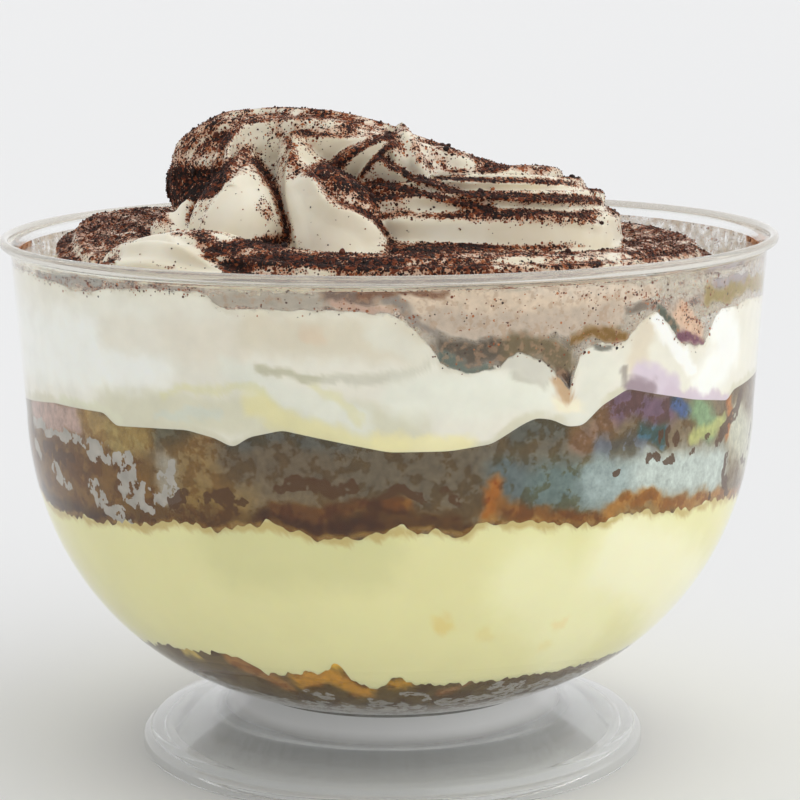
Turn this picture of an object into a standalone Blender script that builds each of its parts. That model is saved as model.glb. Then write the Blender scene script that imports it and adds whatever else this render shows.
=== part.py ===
"""A layered trifle in its clear footed bowl, with piped cream on top.

The bowl is a turned shell. Sponge, custard, sponge and cream fill it, and part along wavy surfaces.
The piped cream is a set of finned ropes, blades and lobes that flow into one piece.
Sizes below are in millimetres and are turned into metres as the shapes are made.
The origin is the middle of the foot's underside, +Z is up, and the front is at -Y.
"""

import math

import bmesh
import bpy
from mathutils import Vector

MM = 0.001

# The bowl: (radius, height) points round its lip and foot, and the curve of its belly
RIM_RADIUS = 55.0
RIM_HEIGHT = 74.7
WALL = 1.2
WALL_TOP = (53.4, 72.2)
BELLY_TOP = (51.89, 50.57)
BELLY_BOTTOM = 6.73
BELLY_POWERS = (0.805, 0.994)
STEM_RADIUS = 21.5
FOOT_RADIUS = 36.5
FOOT_RING_RADIUS = 32.5
LIP = ((53.9, 74.5), (54.2, RIM_HEIGHT), (54.6, 74.5), (RIM_RADIUS, 73.8), (54.4, 73.0))
FOOT_TOP = ((STEM_RADIUS, 8.9), (25, 5.3), (30, 3.9), (34.6, 3.3), (35.3, 2.8), (35.5, 2.2), (36.2, 2.0))
FOOT_EDGE = ((FOOT_RADIUS, 1.6), (FOOT_RADIUS, 0.3), (36.2, 0), (FOOT_RING_RADIUS, 0))
FOOT_HOLLOW = ((32.7, 2.0), (24, 4.1), (18.5, 6.8), (0, BELLY_BOTTOM))

# Fits and fineness
GAP = 0.3
TURN_STEPS = 40
BELLY_STEPS = 8
SWEEP_STEPS = 2
BLADE_SIDES = 8
LOBE_SIDES = 10
ROOM_HEIGHT = 130.0

# Heights where the layers meet at the wall, by degrees from the front (to the right is plus)
CREAM_TOP = (
    (-150, 68.5), (-118, 66.5), (-81, 66.0), (-65, 68.0), (-43, 70.2), (-25, 71.8), (-8, 70.5),
    (1, 69.8), (7, 65.7), (18, 64.4), (26, 60.5), (33, 64.0), (40, 68.5), (50, 62.5), (58, 66.5),
    (70, 67.0), (90, 65.0), (120, 65.0), (150, 66.5), (180, 67.5),
)
CREAM_BOTTOM = (
    (-150, 54.6), (-115, 53.0), (-81, 52.2), (-60, 54.4), (-46, 54.8), (-37, 53.6), (-30, 54.0),
    (-22, 52.2), (-15, 54.8), (-8, 53.7), (4, 52.2), (14, 52.9), (21, 55.9), (27, 54.4),
    (36, 58.5), (48, 56.0), (61, 54.0), (75, 55.5), (100, 54.0), (130, 55.5), (165, 53.6),
)
MIDDLE_BOTTOM = (
    (-150, 40.0), (-110, 41.4), (-80, 40.2), (-67, 38.7), (-39, 40.5), (-26, 41.3), (-17, 43.0),
    (-9, 40.7), (2, 42.3), (10, 41.0), (17, 42.8), (30, 41.0), (39, 42.2), (55, 40.5),
    (79, 38.4), (110, 40.6), (145, 39.6), (180, 41.6),
)
CUSTARD_BOTTOM = (
    (-150, 19.8), (-105, 17.8), (-66, 18.5), (-31, 22.0), (-24, 19.8), (-11, 22.2), (-3, 17.7),
    (6, 20.2), (20, 18.4), (42, 17.9), (66, 17.2), (100, 19.6), (140, 17.9), (175, 19.5),
)
# The height of the same four surfaces in the middle, where nothing shows them
CREAM_TOP_MIDDLE = 65.0
CREAM_BOTTOM_MIDDLE = 54.0
MIDDLE_BOTTOM_MIDDLE = 41.0
CUSTARD_BOTTOM_MIDDLE = 19.0
SLAB_RINGS = (62.0, 48.0, 28.0)

# How far out a rope's section reaches, by degrees from its outer side over its top: fins and grooves
RING_SECTION = (
    (-140, 0.8), (-70, 1.0), (-30, 1.0), (8, 1.0), (24, 0.84), (38, 1.0), (54, 0.82), (68, 1.0),
    (84, 0.84), (98, 1.03), (110, 0.95), (122, 1.22), (131, 1.2), (139, 1.5), (160, 1.3),
)
COIL_SECTION = (
    (-130, 0.85), (-62, 1.12), (-32, 1.12), (-4, 1.0), (10, 0.97), (19, 1.02), (33, 0.8), (46, 1.02),
    (60, 0.8), (73, 1.02), (87, 0.8), (100, 1.0), (117, 0.8), (134, 1.0), (170, 0.85),
)
CROWN_SECTION = (
    (-120, 0.85), (-60, 0.95), (-22, 1.0), (12, 0.84), (38, 0.86), (64, 0.98), (80, 0.88), (95, 1.03),
    (112, 0.86), (128, 1.0), (165, 0.85),
)
# The piped ropes: each one's section, and points (x, y, z, radius) along its middle line
ROPES = {
    "ring_left": (RING_SECTION, (
        (-5, 38, 66.0, 3.0), (-12, 37, 66.5, 6.6), (-25, 31, 67.6, 7.4), (-36, 20, 68.4, 7.8),
        (-40.5, 7, 68.8, 8.0), (-40.5, -7, 67.6, 7.6), (-37.5, -16, 66.0, 6.6), (-35, -21, 65.0, 3.0),
    )),
    "ring_front": (RING_SECTION, (
        (-38.0, -23, 67.5, 2.5), (-35.0, -26, 68.6, 6.4), (-29.5, -31, 69.6, 8.0), (-22, -35.5, 68.6, 8.0),
        (-12, -39, 67.8, 7.8), (0, -40.3, 67.4, 7.8), (14, -38.3, 67.2, 7.8), (27, -31, 66.8, 7.6),
        (36.5, -19, 66.4, 7.4), (40.5, -4, 66.0, 7.2), (39.5, 11, 66.0, 7.4), (32, 25, 66.2, 7.4),
        (19, 35, 66.4, 7.2), (7, 39, 66.2, 5.5), (2, 39.6, 66.0, 2.5),
    )),
    "coil": (COIL_SECTION, (
        (-14, -9, 74.5, 3.0), (-8, -11.5, 75.0, 6.4), (2, -13.2, 75.4, 7.8), (12, -12.6, 75.4, 8.4),
        (20.5, -8, 74.8, 8.5), (24.8, 1, 73.8, 8.5), (23, 11, 73.0, 8.5), (15, 19, 73.0, 8.4),
        (4, 23, 73.8, 8.4), (-8, 23, 75.2, 8.4), (-18, 19, 77.0, 8.6), (-22.5, 11, 79.2, 8.6),
        (-23, 5, 80.5, 5.0),
    )),
    "crown": (CROWN_SECTION, (
        (-31, 5, 80.6, 2.5), (-28, 3.5, 81.0, 7.0), (-23, 1, 81.8, 9.3), (-18, -1.6, 83.0, 9.0),
        (-12, -3.0, 83.6, 8.5), (-5, -3.8, 83.2, 7.8), (2.5, -3.8, 81.4, 7.0), (9, -0.5, 79.2, 6.8),
        (12, 6, 78.0, 6.6), (7, 12.5, 77.4, 6.4), (-2, 13, 77.6, 5.6), (-9, 8, 78.0, 3.0),
    )),
}
# Lone blades that fan out from the crown: points (x, y, z, half height), and the way each stands
BLADE_THINNESS = 0.5
BLADES = (
    (((2, -5, 88.0, 2.0), (-4, -9.0, 86.4, 3.4), (-10.5, -12.5, 82.6, 2.6)), (-0.2, -1.0, 0.7)),
    (((3, -6.5, 86.0, 2.0), (-1, -10, 84.2, 3.2), (-5, -13.5, 81.0, 2.4)), (0.0, -1.0, 0.6)),
    (((1.6, -3.5, 88.6, 1.8), (2.8, -7.5, 86.0, 2.8), (4.4, -12, 81.6, 3.0)), (0.3, -1.0, 0.5)),
    (((-22, -8, 88.0, 1.2), (-23, -10, 84.5, 2.4), (-23.5, -10, 81.0, 1.8)), (0.0, -1.0, 0.1)),
)
# Plump lobes: points (x, y, z, radius) along each
LOBES = {
    "left_petal": (
        (-19.8, -9.5, 86, 1.2), (-20.2, -13.5, 81.6, 4.6), (-20.6, -16.5, 77, 6.5), (-21.0, -20, 71, 5.2),
    ),
    "right_petal": (
        (-13, -8.5, 88.0, 1.8), (-11.5, -12.5, 83.0, 4.4), (-7.8, -17.2, 76.8, 7.0), (-5.5, -21.5, 69.8, 6.0),
    ),
    "small_curl": ((-30.5, -10, 73.0, 2.0), (-29, -15, 75.6, 3.0), (-28.5, -20, 72.8, 2.8)),
    "middle_fill": ((-15, 11, 74.0, 6.0), (-8, 7.0, 77.0, 8.0), (1, 4.0, 76.0, 8.0), (8, 3, 73.0, 5.0)),
}
# The heap under the ropes: the height of its middle, and its half sizes
HEAP_HEIGHT = 66.0
HEAP_HALF_SIZES = (39.0, 39.0, 11.0)


def new_object(name, data, group):
    thing = bpy.data.objects.new(name, data)
    group.objects.link(thing)
    return thing


def as_cutter(thing):
    """A shape that only cuts or guides the others, and isn't part of the trifle."""
    thing.hide_render = True
    thing.display_type = "WIRE"
    return thing


def evaluated_mesh(thing):
    """The object's mesh with its modifiers or its curve made real, its doubles merged, facing out."""
    bpy.context.view_layer.update()
    graph = bpy.context.evaluated_depsgraph_get()
    mesh = bpy.data.meshes.new_from_object(thing.evaluated_get(graph))
    tidy = bmesh.new()
    tidy.from_mesh(mesh)
    bmesh.ops.remove_doubles(tidy, verts=tidy.verts, dist=0.02 * MM)
    bmesh.ops.recalc_face_normals(tidy, faces=tidy.faces)
    tidy.to_mesh(mesh)
    tidy.free()
    return mesh


def turned(name, profile, group):
    """A solid turned about Z from (radius, height) points that run down its outer side."""
    mesh = bpy.data.meshes.new(name)
    points = [(radius * MM, 0, height * MM) for radius, height in profile]
    mesh.from_pydata(points, [(i, i + 1) for i in range(len(points) - 1)], [])
    thing = new_object(name, mesh, group)
    screw = thing.modifiers.new("turn", "SCREW")
    screw.steps = screw.render_steps = TURN_STEPS
    screw.use_merge_vertices = True
    screw.merge_threshold = 0.01 * MM
    return thing


def boolean(thing, operation, other):
    modifier = thing.modifiers.new(operation.lower(), "BOOLEAN")
    modifier.operation = operation
    modifier.object = other
    return modifier


def paint(thing, name, colour, roughness, alpha=1.0):
    """Gives the piece a Principled material of its own."""
    material = bpy.data.materials.new(name)
    material.use_nodes = True
    shader = material.node_tree.nodes["Principled BSDF"]
    shader.inputs["Base Color"].default_value = (*colour, 1)
    shader.inputs["Roughness"].default_value = roughness
    shader.inputs["Metallic"].default_value = 0.0
    shader.inputs["Alpha"].default_value = alpha
    thing.data.materials.append(material)


def belly():
    """The outside of the round belly, from the axis up to where the straight wall starts."""
    points = []
    for i in range(BELLY_STEPS + 1):
        angle = math.pi / 2 * (1 - i / BELLY_STEPS)
        radius = BELLY_TOP[0] * abs(math.cos(angle)) ** BELLY_POWERS[0]
        height = BELLY_TOP[1] - (BELLY_TOP[1] - BELLY_BOTTOM) * math.sin(angle) ** BELLY_POWERS[1]
        points.append((radius, height))
    return points


def inner_wall(distance):
    """The inside of the bowl from the axis to the lip, moved in from the outside by a distance."""
    outside = [*belly(), WALL_TOP]
    inside = [(0.0, BELLY_BOTTOM + distance)]
    for before, (radius, height), after in zip(outside, outside[1:], outside[2:] + outside[-1:]):
        run = (after[0] - before[0], after[1] - before[1])
        length = math.hypot(*run)
        inside.append((radius - run[1] / length * distance, height + run[0] / length * distance))
    return inside


def make_bowl(parts):
    """The clear bowl: a rolled lip, a nearly straight wall, a round belly and a wide hollow foot."""
    outer_wall = [WALL_TOP, *(point for point in reversed(belly()) if point[0] > STEM_RADIUS)]
    profile = [*inner_wall(WALL), *LIP, *outer_wall, *FOOT_TOP, *FOOT_EDGE, *FOOT_HOLLOW]
    bowl = turned("bowl", profile, parts)
    bowl.data.shade_smooth()
    bowl.data.set_sharp_from_angle(angle=math.radians(40))
    paint(bowl, "clear_plastic", (0.95, 0.96, 0.96), 0.05, alpha=0.25)


def level(height):
    """A flat surface."""
    return lambda x, y: height


def wavy(heights):
    """A smooth function of the angle in degrees that passes through the given heights and closes."""
    knots = sorted(heights)
    first, last = knots[0], knots[-1]
    knots = [(last[0] - 360, last[1]), *knots, (first[0] + 360, first[1])]

    def height(angle):
        for (start, low), (end, high) in zip(knots, knots[1:]):
            if start <= angle <= end:
                share = (angle - start) / (end - start)
                return low + (high - low) * (1 - math.cos(math.pi * share)) / 2

    return height


def surface(edge, middle, lift=0.0):
    """A layer's surface: flat in the middle, and bending to its wavy edge near the wall."""
    edge_height = wavy(edge)

    def height(x, y):
        angle = math.degrees(math.atan2(x, -y))
        reach = min(1.0, math.hypot(x, y) / BELLY_TOP[0])
        return middle + (edge_height(angle) - middle) * reach ** 3 + lift

    return height


def make_slab(name, bottom, top, cutters):
    """A closed disc, wider than the bowl, between two surfaces."""
    up = [(0.0, 1.0), *((radius, 1.0) for radius in reversed(SLAB_RINGS))]
    down = [*((radius, -1.0) for radius in SLAB_RINGS), (0.0, -1.0)]
    blank = turned(name + "_blank", [*up, *down], cutters)
    mesh = evaluated_mesh(blank)
    bpy.data.objects.remove(blank)
    for vertex in mesh.vertices:
        height = top if vertex.co.z > 0 else bottom
        vertex.co.z = height(vertex.co.x / MM, vertex.co.y / MM) * MM
    # Two slabs that meet split their four-sided faces alike, which keeps the gap between them even
    split = bmesh.new()
    split.from_mesh(mesh)
    bmesh.ops.triangulate(split, faces=split.faces, quad_method="SHORT_EDGE")
    split.to_mesh(mesh)
    split.free()
    return as_cutter(new_object(name, mesh, cutters))


def make_layers(parts, cutters):
    """Sponge, custard, sponge and cream, each the part of the bowl's inside between two surfaces."""
    wall = inner_wall(WALL + GAP)
    filling = [(0, wall[-1][1]), *reversed(wall)]
    layers = {
        "sponge_base": (
            level(0), surface(CUSTARD_BOTTOM, CUSTARD_BOTTOM_MIDDLE), (0.26, 0.13, 0.05), 0.6,
        ),
        "custard": (
            surface(CUSTARD_BOTTOM, CUSTARD_BOTTOM_MIDDLE, GAP),
            surface(MIDDLE_BOTTOM, MIDDLE_BOTTOM_MIDDLE), (0.86, 0.80, 0.50), 0.35,
        ),
        "sponge_middle": (
            surface(MIDDLE_BOTTOM, MIDDLE_BOTTOM_MIDDLE, GAP),
            surface(CREAM_BOTTOM, CREAM_BOTTOM_MIDDLE), (0.30, 0.21, 0.14), 0.6,
        ),
        "cream_layer": (
            surface(CREAM_BOTTOM, CREAM_BOTTOM_MIDDLE, GAP),
            surface(CREAM_TOP, CREAM_TOP_MIDDLE), (0.87, 0.85, 0.79), 0.4,
        ),
    }
    for name, (bottom, top, colour, roughness) in layers.items():
        layer = turned(name, filling, parts)
        boolean(layer, "INTERSECT", make_slab(name + "_slab", bottom, top, cutters))
        paint(layer, name + "_finish", colour, roughness)


def outline_curve(name, points, cutters):
    """A closed outline that a rope, a blade or a lobe is swept along its line with."""
    curve = bpy.data.curves.new(name, "CURVE")
    curve.dimensions = "2D"
    outline = curve.splines.new("POLY")
    outline.points.add(len(points) - 1)
    for point, (across, up) in zip(outline.points, points):
        point.co = (across * MM, up * MM, 0, 1)
    outline.use_cyclic_u = True
    return as_cutter(new_object(name, curve, cutters))


def oval(half_width, sides):
    turns = [2 * math.pi * i / sides for i in range(sides)]
    return [(half_width * math.cos(turn), math.sin(turn)) for turn in turns]


def fluted(section):
    """The outline of a piped rope, out to its fins and in to its grooves."""
    turns = [(math.radians(angle), reach) for angle, reach in section]
    return [(reach * math.cos(turn), reach * math.sin(turn)) for turn, reach in turns]


def directions(points):
    """The way a line of points runs at each of them."""
    spots = [Vector(point[:3]) for point in points]
    ends = zip(spots[:1] + spots, spots[1:] + spots[-1:])
    return [(after - before).normalized() for before, after in ends]


def lean(tangent, outward):
    """How far a section is tilted about its line so that its height points outward."""
    upright = (Vector((0, 0, 1)) - tangent * tangent.z).normalized()
    across = (outward - tangent * tangent.dot(outward)).normalized()
    return math.atan2(tangent.dot(upright.cross(across)), upright.dot(across))


def sweep(points, outline, cutters, outward=None):
    """Cream swept along (x, y, z, size) points. With an outward way, its section stands that way."""
    curve = bpy.data.curves.new("sweep", "CURVE")
    curve.dimensions = "3D"
    curve.twist_mode = "Z_UP"
    curve.resolution_u = SWEEP_STEPS
    curve.render_resolution_u = 0
    curve.bevel_mode = "OBJECT"
    curve.bevel_object = outline
    curve.use_fill_caps = True
    line = curve.splines.new("BEZIER")
    line.radius_interpolation = "CARDINAL"
    line.tilt_interpolation = "CARDINAL"
    line.bezier_points.add(len(points) - 1)
    for knot, (x, y, z, size), tangent in zip(line.bezier_points, points, directions(points)):
        knot.co = Vector((x, y, z)) * MM
        knot.radius = size
        knot.handle_left_type = knot.handle_right_type = "AUTO"
        knot.tilt = lean(tangent, outward) if outward else 0.0
    return new_object("sweep", curve, cutters)


def piped_strands(cutters):
    """Every rope, blade and lobe of the piped cream."""
    strands = []
    for name, (section, points) in ROPES.items():
        strands.append(sweep(points, outline_curve(name, fluted(section), cutters), cutters))
    blade = outline_curve("blade", oval(BLADE_THINNESS, BLADE_SIDES), cutters)
    for points, outward in BLADES:
        strands.append(sweep(points, blade, cutters, Vector(outward)))
    lobe = outline_curve("lobe", oval(1.0, LOBE_SIDES), cutters)
    for points in LOBES.values():
        strands.append(sweep(points, lobe, cutters))
    return strands


def make_swirl(parts, cutters):
    """The piped cream: its strands and the heap under them, run together and cut to the bowl."""
    joined = bmesh.new()
    for strand in piped_strands(cutters):
        mesh = evaluated_mesh(strand)
        joined.from_mesh(mesh)
        bpy.data.objects.remove(strand)
        bpy.data.meshes.remove(mesh)
    heap = bmesh.ops.create_uvsphere(joined, u_segments=16, v_segments=8, radius=MM)
    bmesh.ops.scale(joined, vec=HEAP_HALF_SIZES, verts=heap["verts"])
    bmesh.ops.translate(joined, vec=(0, 0, HEAP_HEIGHT * MM), verts=heap["verts"])
    mesh = bpy.data.meshes.new("cream_swirl")
    joined.to_mesh(mesh)
    joined.free()
    swirl = new_object("cream_swirl", mesh, parts)

    over_layer = surface(CREAM_TOP, CREAM_TOP_MIDDLE, GAP)
    above = make_slab("above_layer", over_layer, level(ROOM_HEIGHT), cutters)
    boolean(swirl, "INTERSECT", above).use_self = True
    wall = inner_wall(WALL + GAP)
    inside = turned("inside_bowl", [(0, ROOM_HEIGHT), (wall[-1][0], ROOM_HEIGHT), *reversed(wall)], cutters)
    boolean(swirl, "INTERSECT", as_cutter(inside))
    paint(swirl, "piped_cream", (0.86, 0.82, 0.74), 0.45)


def main():
    for thing in list(bpy.data.objects):
        bpy.data.objects.remove(thing)
    parts = bpy.data.collections.new("trifle")
    cutters = bpy.data.collections.new("cutters")
    bpy.context.scene.collection.children.link(parts)
    bpy.context.scene.collection.children.link(cutters)
    make_bowl(parts)
    make_layers(parts, cutters)
    make_swirl(parts, cutters)


main()
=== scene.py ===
# %% [markdown]
# # Trifle in a footed bowl
# Sponge, custard, more sponge and cream lie in a clear footed bowl, and piped cream dusted with cocoa
# stands on top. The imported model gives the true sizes, and this file gives the looks. Every piece is
# modelled where it belongs, in metres, with +Z up and the front of the swirl towards -Y.

# %% Load the frame
import math

import bmesh
import bpy
import numpy as np
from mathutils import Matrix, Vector, noise
from mathutils.bvhtree import BVHTree


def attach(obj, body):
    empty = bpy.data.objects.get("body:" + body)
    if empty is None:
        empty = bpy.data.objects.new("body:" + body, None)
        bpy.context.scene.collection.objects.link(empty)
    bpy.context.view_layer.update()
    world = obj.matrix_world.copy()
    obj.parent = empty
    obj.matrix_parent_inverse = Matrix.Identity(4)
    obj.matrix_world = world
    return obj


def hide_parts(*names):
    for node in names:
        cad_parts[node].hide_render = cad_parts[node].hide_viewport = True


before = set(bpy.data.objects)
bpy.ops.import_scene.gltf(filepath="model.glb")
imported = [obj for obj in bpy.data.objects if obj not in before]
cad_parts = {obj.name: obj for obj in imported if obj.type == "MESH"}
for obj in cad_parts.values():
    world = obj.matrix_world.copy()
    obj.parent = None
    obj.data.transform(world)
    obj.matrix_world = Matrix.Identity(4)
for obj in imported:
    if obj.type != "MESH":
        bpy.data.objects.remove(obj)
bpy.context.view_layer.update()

MM = 0.001


# %% [markdown]
# A few helpers come first. Blender's operators act on whatever is selected, so each step starts from
# an empty selection, and one helper runs a step in edit mode and comes back.

# %% Helpers for selecting and editing
def deselect():
    """Leaves nothing selected."""
    bpy.ops.object.select_all(action="DESELECT")


def only(thing):
    """Makes one object the selected and active one."""
    deselect()
    thing.select_set(True)
    bpy.context.view_layer.objects.active = thing
    return thing


def edit(thing, what=None):
    """Opens edit mode on one object, with all or none of it selected."""
    only(thing)
    bpy.ops.object.mode_set(mode="EDIT")
    if what:
        bpy.ops.mesh.select_all(action=what)


def done():
    """Back to object mode, with the last object."""
    bpy.ops.object.mode_set(mode="OBJECT")
    return bpy.context.object


def apply_modifier(thing, kind, **settings):
    """Adds a modifier with its settings and applies it."""
    only(thing)
    modifier = thing.modifiers.new(kind.lower(), kind)
    for key, value in settings.items():
        setattr(modifier, key, value)
    bpy.ops.object.modifier_apply(modifier=modifier.name)


def points_of(thing):
    """The vertices of a mesh object as rows of x, y, z in millimetres."""
    spots = np.zeros(len(thing.data.vertices) * 3)
    thing.data.vertices.foreach_get("co", spots)
    return spots.reshape(-1, 3) / MM


def move_points(thing, spots):
    """Puts the vertices of a mesh object at rows of x, y, z in millimetres."""
    thing.data.vertices.foreach_set("co", (spots * MM).ravel())
    thing.data.update()


def smooth(thing, sharp_above=60):
    """Shades a piece smooth, apart from its sharp edges."""
    only(thing)
    bpy.ops.object.shade_smooth_by_angle(angle=math.radians(sharp_above))


def triangles(thing):
    """How many triangles a mesh object has."""
    return sum(len(face.vertices) - 2 for face in thing.data.polygons)


# %% [markdown]
# Every material starts from the Principled shader. Small helpers make it with its constant values,
# add nodes to it, and link or fill their inputs, so that each look below reads from top to bottom.

# %% Material helpers
def new_material(name, **values):
    """A Principled material. Each value is named as on the shader, with _ for a space."""
    material = bpy.data.materials.new(name)
    material.use_nodes = True
    shader = material.node_tree.nodes["Principled BSDF"]
    for key, value in values.items():
        shader.inputs[key.replace("_", " ")].default_value = value
    return material


def shader_of(material):
    """The Principled shader of a material."""
    return material.node_tree.nodes["Principled BSDF"]


def put(tree, value, socket):
    """Links a node's output into a socket, or fills the socket with a plain value."""
    if isinstance(value, bpy.types.NodeSocket):
        tree.links.new(value, socket)
    else:
        socket.default_value = value


def node(tree, kind, inputs, **settings):
    """Adds a node with its settings, and links or fills the inputs that are named."""
    made = tree.nodes.new("ShaderNode" + kind)
    for key, value in settings.items():
        setattr(made, key, value)
    for key, value in inputs.items():
        put(tree, value, made.inputs[key])
    return made


def number(tree, operation, *values):
    """A math node on one, two or three values, which are links or plain numbers."""
    made = node(tree, "Math", {}, operation=operation)
    for value, socket in zip(values, made.inputs):
        put(tree, value, socket)
    return made.outputs[0]


def fade(tree, value, low, high):
    """A smooth step: 0 at the low value and 1 at the high one."""
    inputs = {"Value": value, "From Min": low, "From Max": high}
    return node(tree, "MapRange", inputs, interpolation_type="SMOOTHSTEP").outputs["Result"]


MIX_INPUTS, MIX_OUTPUT = (0, 6, 7), 2


def blend(tree, share, first, second, how="MIX"):
    """A mix of two colours by a share. A Mix node has sockets for every kind, so colours go by number."""
    made = node(tree, "Mix", {}, data_type="RGBA", blend_type=how)
    for value, index in zip((share, first, second), MIX_INPUTS):
        put(tree, value, made.inputs[index])
    return made.outputs[MIX_OUTPUT]


def grain(tree, size, detail=2, place=None, roughness=0.5):
    """Soft cloudy noise whose clouds are about this many millimetres across."""
    place = place or node(tree, "TexCoord", {}).outputs["Object"]
    inputs = {"Vector": place, "Scale": 1 / (size * MM), "Detail": detail, "Roughness": roughness}
    return node(tree, "TexNoise", inputs).outputs["Fac"]


def painted(tree, name):
    """A value that was painted on the vertices."""
    return node(tree, "Attribute", {}, attribute_name=name).outputs["Fac"]


def paint(thing, name, values):
    """Stores one value for each vertex."""
    layer_of_values = thing.data.attributes.new(name, "FLOAT", "POINT")
    layer_of_values.data.foreach_set("value", np.asarray(values, dtype=np.float32))


def linear(colours):
    """Colours as seen on a screen, from 0 to 255, turned into the linear values of the shader."""
    values = np.asarray(colours, dtype=float) / 255
    return np.where(values <= 0.04045, values / 12.92, ((values + 0.055) / 1.055) ** 2.4)


def srgb(red, green, blue):
    """A colour for a socket, given as seen on a screen."""
    return (*linear((red, green, blue)), 1)


def finish(thing, material):
    """Gives a piece its one material."""
    thing.data.materials.clear()
    thing.data.materials.append(material)


# %% [markdown]
# The camera looks slightly down on the bowl from a good arm's length, through a long lens, which
# keeps the ovals of the rim and the foot flat.

# %% Camera
CAMERA_PLACE = (1.4, -367.3, 113.5)
CAMERA_DOWN = 9.82
CAMERA_ROLL = -0.378
CAMERA_LENS = 116.4
SENSOR_WIDTH = 36
CAMERA_REACH = (0.01, 100)

deselect()
bpy.ops.object.camera_add(location=Vector(CAMERA_PLACE) * MM)
camera = bpy.context.object
camera.rotation_mode = "ZYX"
camera.rotation_euler = (math.radians(90 - CAMERA_DOWN), 0, math.radians(CAMERA_ROLL))
camera.data.lens = CAMERA_LENS
camera.data.sensor_width = SENSOR_WIDTH
camera.data.clip_start, camera.data.clip_end = CAMERA_REACH
bpy.context.scene.camera = camera
print("camera", CAMERA_PLACE, "mm, looking", CAMERA_DOWN, "degrees down")

# %% [markdown]
# The stage is a wide pale floor with one very wide soft lamp from the right and a little from the
# front. The sky is bright above and behind and dimmer on the viewer's side, like a bright table in a
# darker room, so that the faces turned to the front are modelled by soft shadows. A wide lamp has no
# hard edge, so no edge of a light shows in the plastic.

# %% Floor and light
FLOOR_SIZE = 60
FLOOR_TONE = 0.8
FLOOR_ROUGHNESS = 0.7
SKY_COLOUR = (0.985, 0.99, 1, 1)
SKY_DIM, SKY_BRIGHT = 0.68, 0.97
SKY_TURNS = (-0.75, 0.4)
SUN_STRENGTH = 1.25
SUN_WIDTH = 90
SUN_TILT = (60, 0, 74)

deselect()
bpy.ops.mesh.primitive_plane_add(size=FLOOR_SIZE)
floor = bpy.context.object
floor.name = "floor"
finish(floor, new_material("floor_paint", Base_Color=(*[FLOOR_TONE] * 3, 1), Roughness=FLOOR_ROUGHNESS))

deselect()
bpy.ops.object.light_add(type="SUN", rotation=[math.radians(turn) for turn in SUN_TILT])
sun = bpy.context.object
sun.data.energy = SUN_STRENGTH
sun.data.angle = math.radians(SUN_WIDTH)

world = bpy.data.worlds.new("studio")
world.use_nodes = True
tree = world.node_tree
backdrop = tree.nodes["Background"]
backdrop.inputs["Color"].default_value = SKY_COLOUR
direction = node(tree, "SeparateXYZ", {"Vector": node(tree, "TexCoord", {}).outputs["Generated"]})
span = dict(zip(("From Min", "From Max", "To Min", "To Max"), (*SKY_TURNS, SKY_DIM, SKY_BRIGHT)))
span["Value"] = direction.outputs["Y"]
brightness = node(tree, "MapRange", span, interpolation_type="SMOOTHSTEP")
put(tree, brightness.outputs["Result"], backdrop.inputs["Strength"])
bpy.context.scene.world = world
bpy.context.scene.view_settings.view_transform = "Standard"
print("lamp of", SUN_STRENGTH, "and sky from", SKY_DIM, "to", SKY_BRIGHT)


# %% [markdown]
# The bowl's belly is a curve that starts level at the bottom and ends upright, and a nearly straight
# wall goes on from it to the lip. The same curve, moved in by the wall's thickness, is where the
# fillings touch the plastic.

# %% The bowl's curve
WALL = 1.2
WALL_TOP = (53.4, 72.2)
BELLY_TOP = (51.89, 50.57)
BELLY_BOTTOM = 6.73
BELLY_POWERS = (0.805, 0.994)
BELLY_STEPS = 48
BELLY_CROWDING = 1.3
ABOVE_RIM = (55.2, 100)


def belly():
    """The outside of the belly as radius and height, from the axis to where the wall straightens."""
    turn = np.pi / 2 * (1 - np.linspace(0, 1, BELLY_STEPS + 1) ** BELLY_CROWDING)
    radius = BELLY_TOP[0] * np.abs(np.cos(turn)) ** BELLY_POWERS[0]
    height = BELLY_TOP[1] - (BELLY_TOP[1] - BELLY_BOTTOM) * np.sin(turn) ** BELLY_POWERS[1]
    return np.column_stack([radius, height])


def moved_in(line, distance):
    """A profile that climbs outward, moved towards the inside of the bowl."""
    run = np.gradient(line, axis=0)
    run /= np.linalg.norm(run, axis=1)[:, None]
    return line + distance * np.column_stack([-run[:, 1], run[:, 0]])


def wall_radius(height, distance=WALL):
    """The radius of the bowl's inner side at a height, or of a surface inside the wall."""
    line = moved_in(np.vstack([belly()[1:], WALL_TOP, ABOVE_RIM]), distance)
    return np.interp(height, line[:, 1], line[:, 0])


print("inner radius near the rim", round(float(wall_radius(WALL_TOP[1])), 2), "mm")


# %% [markdown]
# The real bowl is moulded, and every part of it is round. Such a piece could be sculpted from a
# cylinder, but a profile that is drawn once, point by point, and spun round the axis is simpler, and
# gives true curves. Doubled points on the axis and at the seam are merged, so that the skin is closed.

# %% Turning a piece on the axis
ROUND_STEPS = 192
WELD = 0.005
SHARP_EDGE = 50


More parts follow.
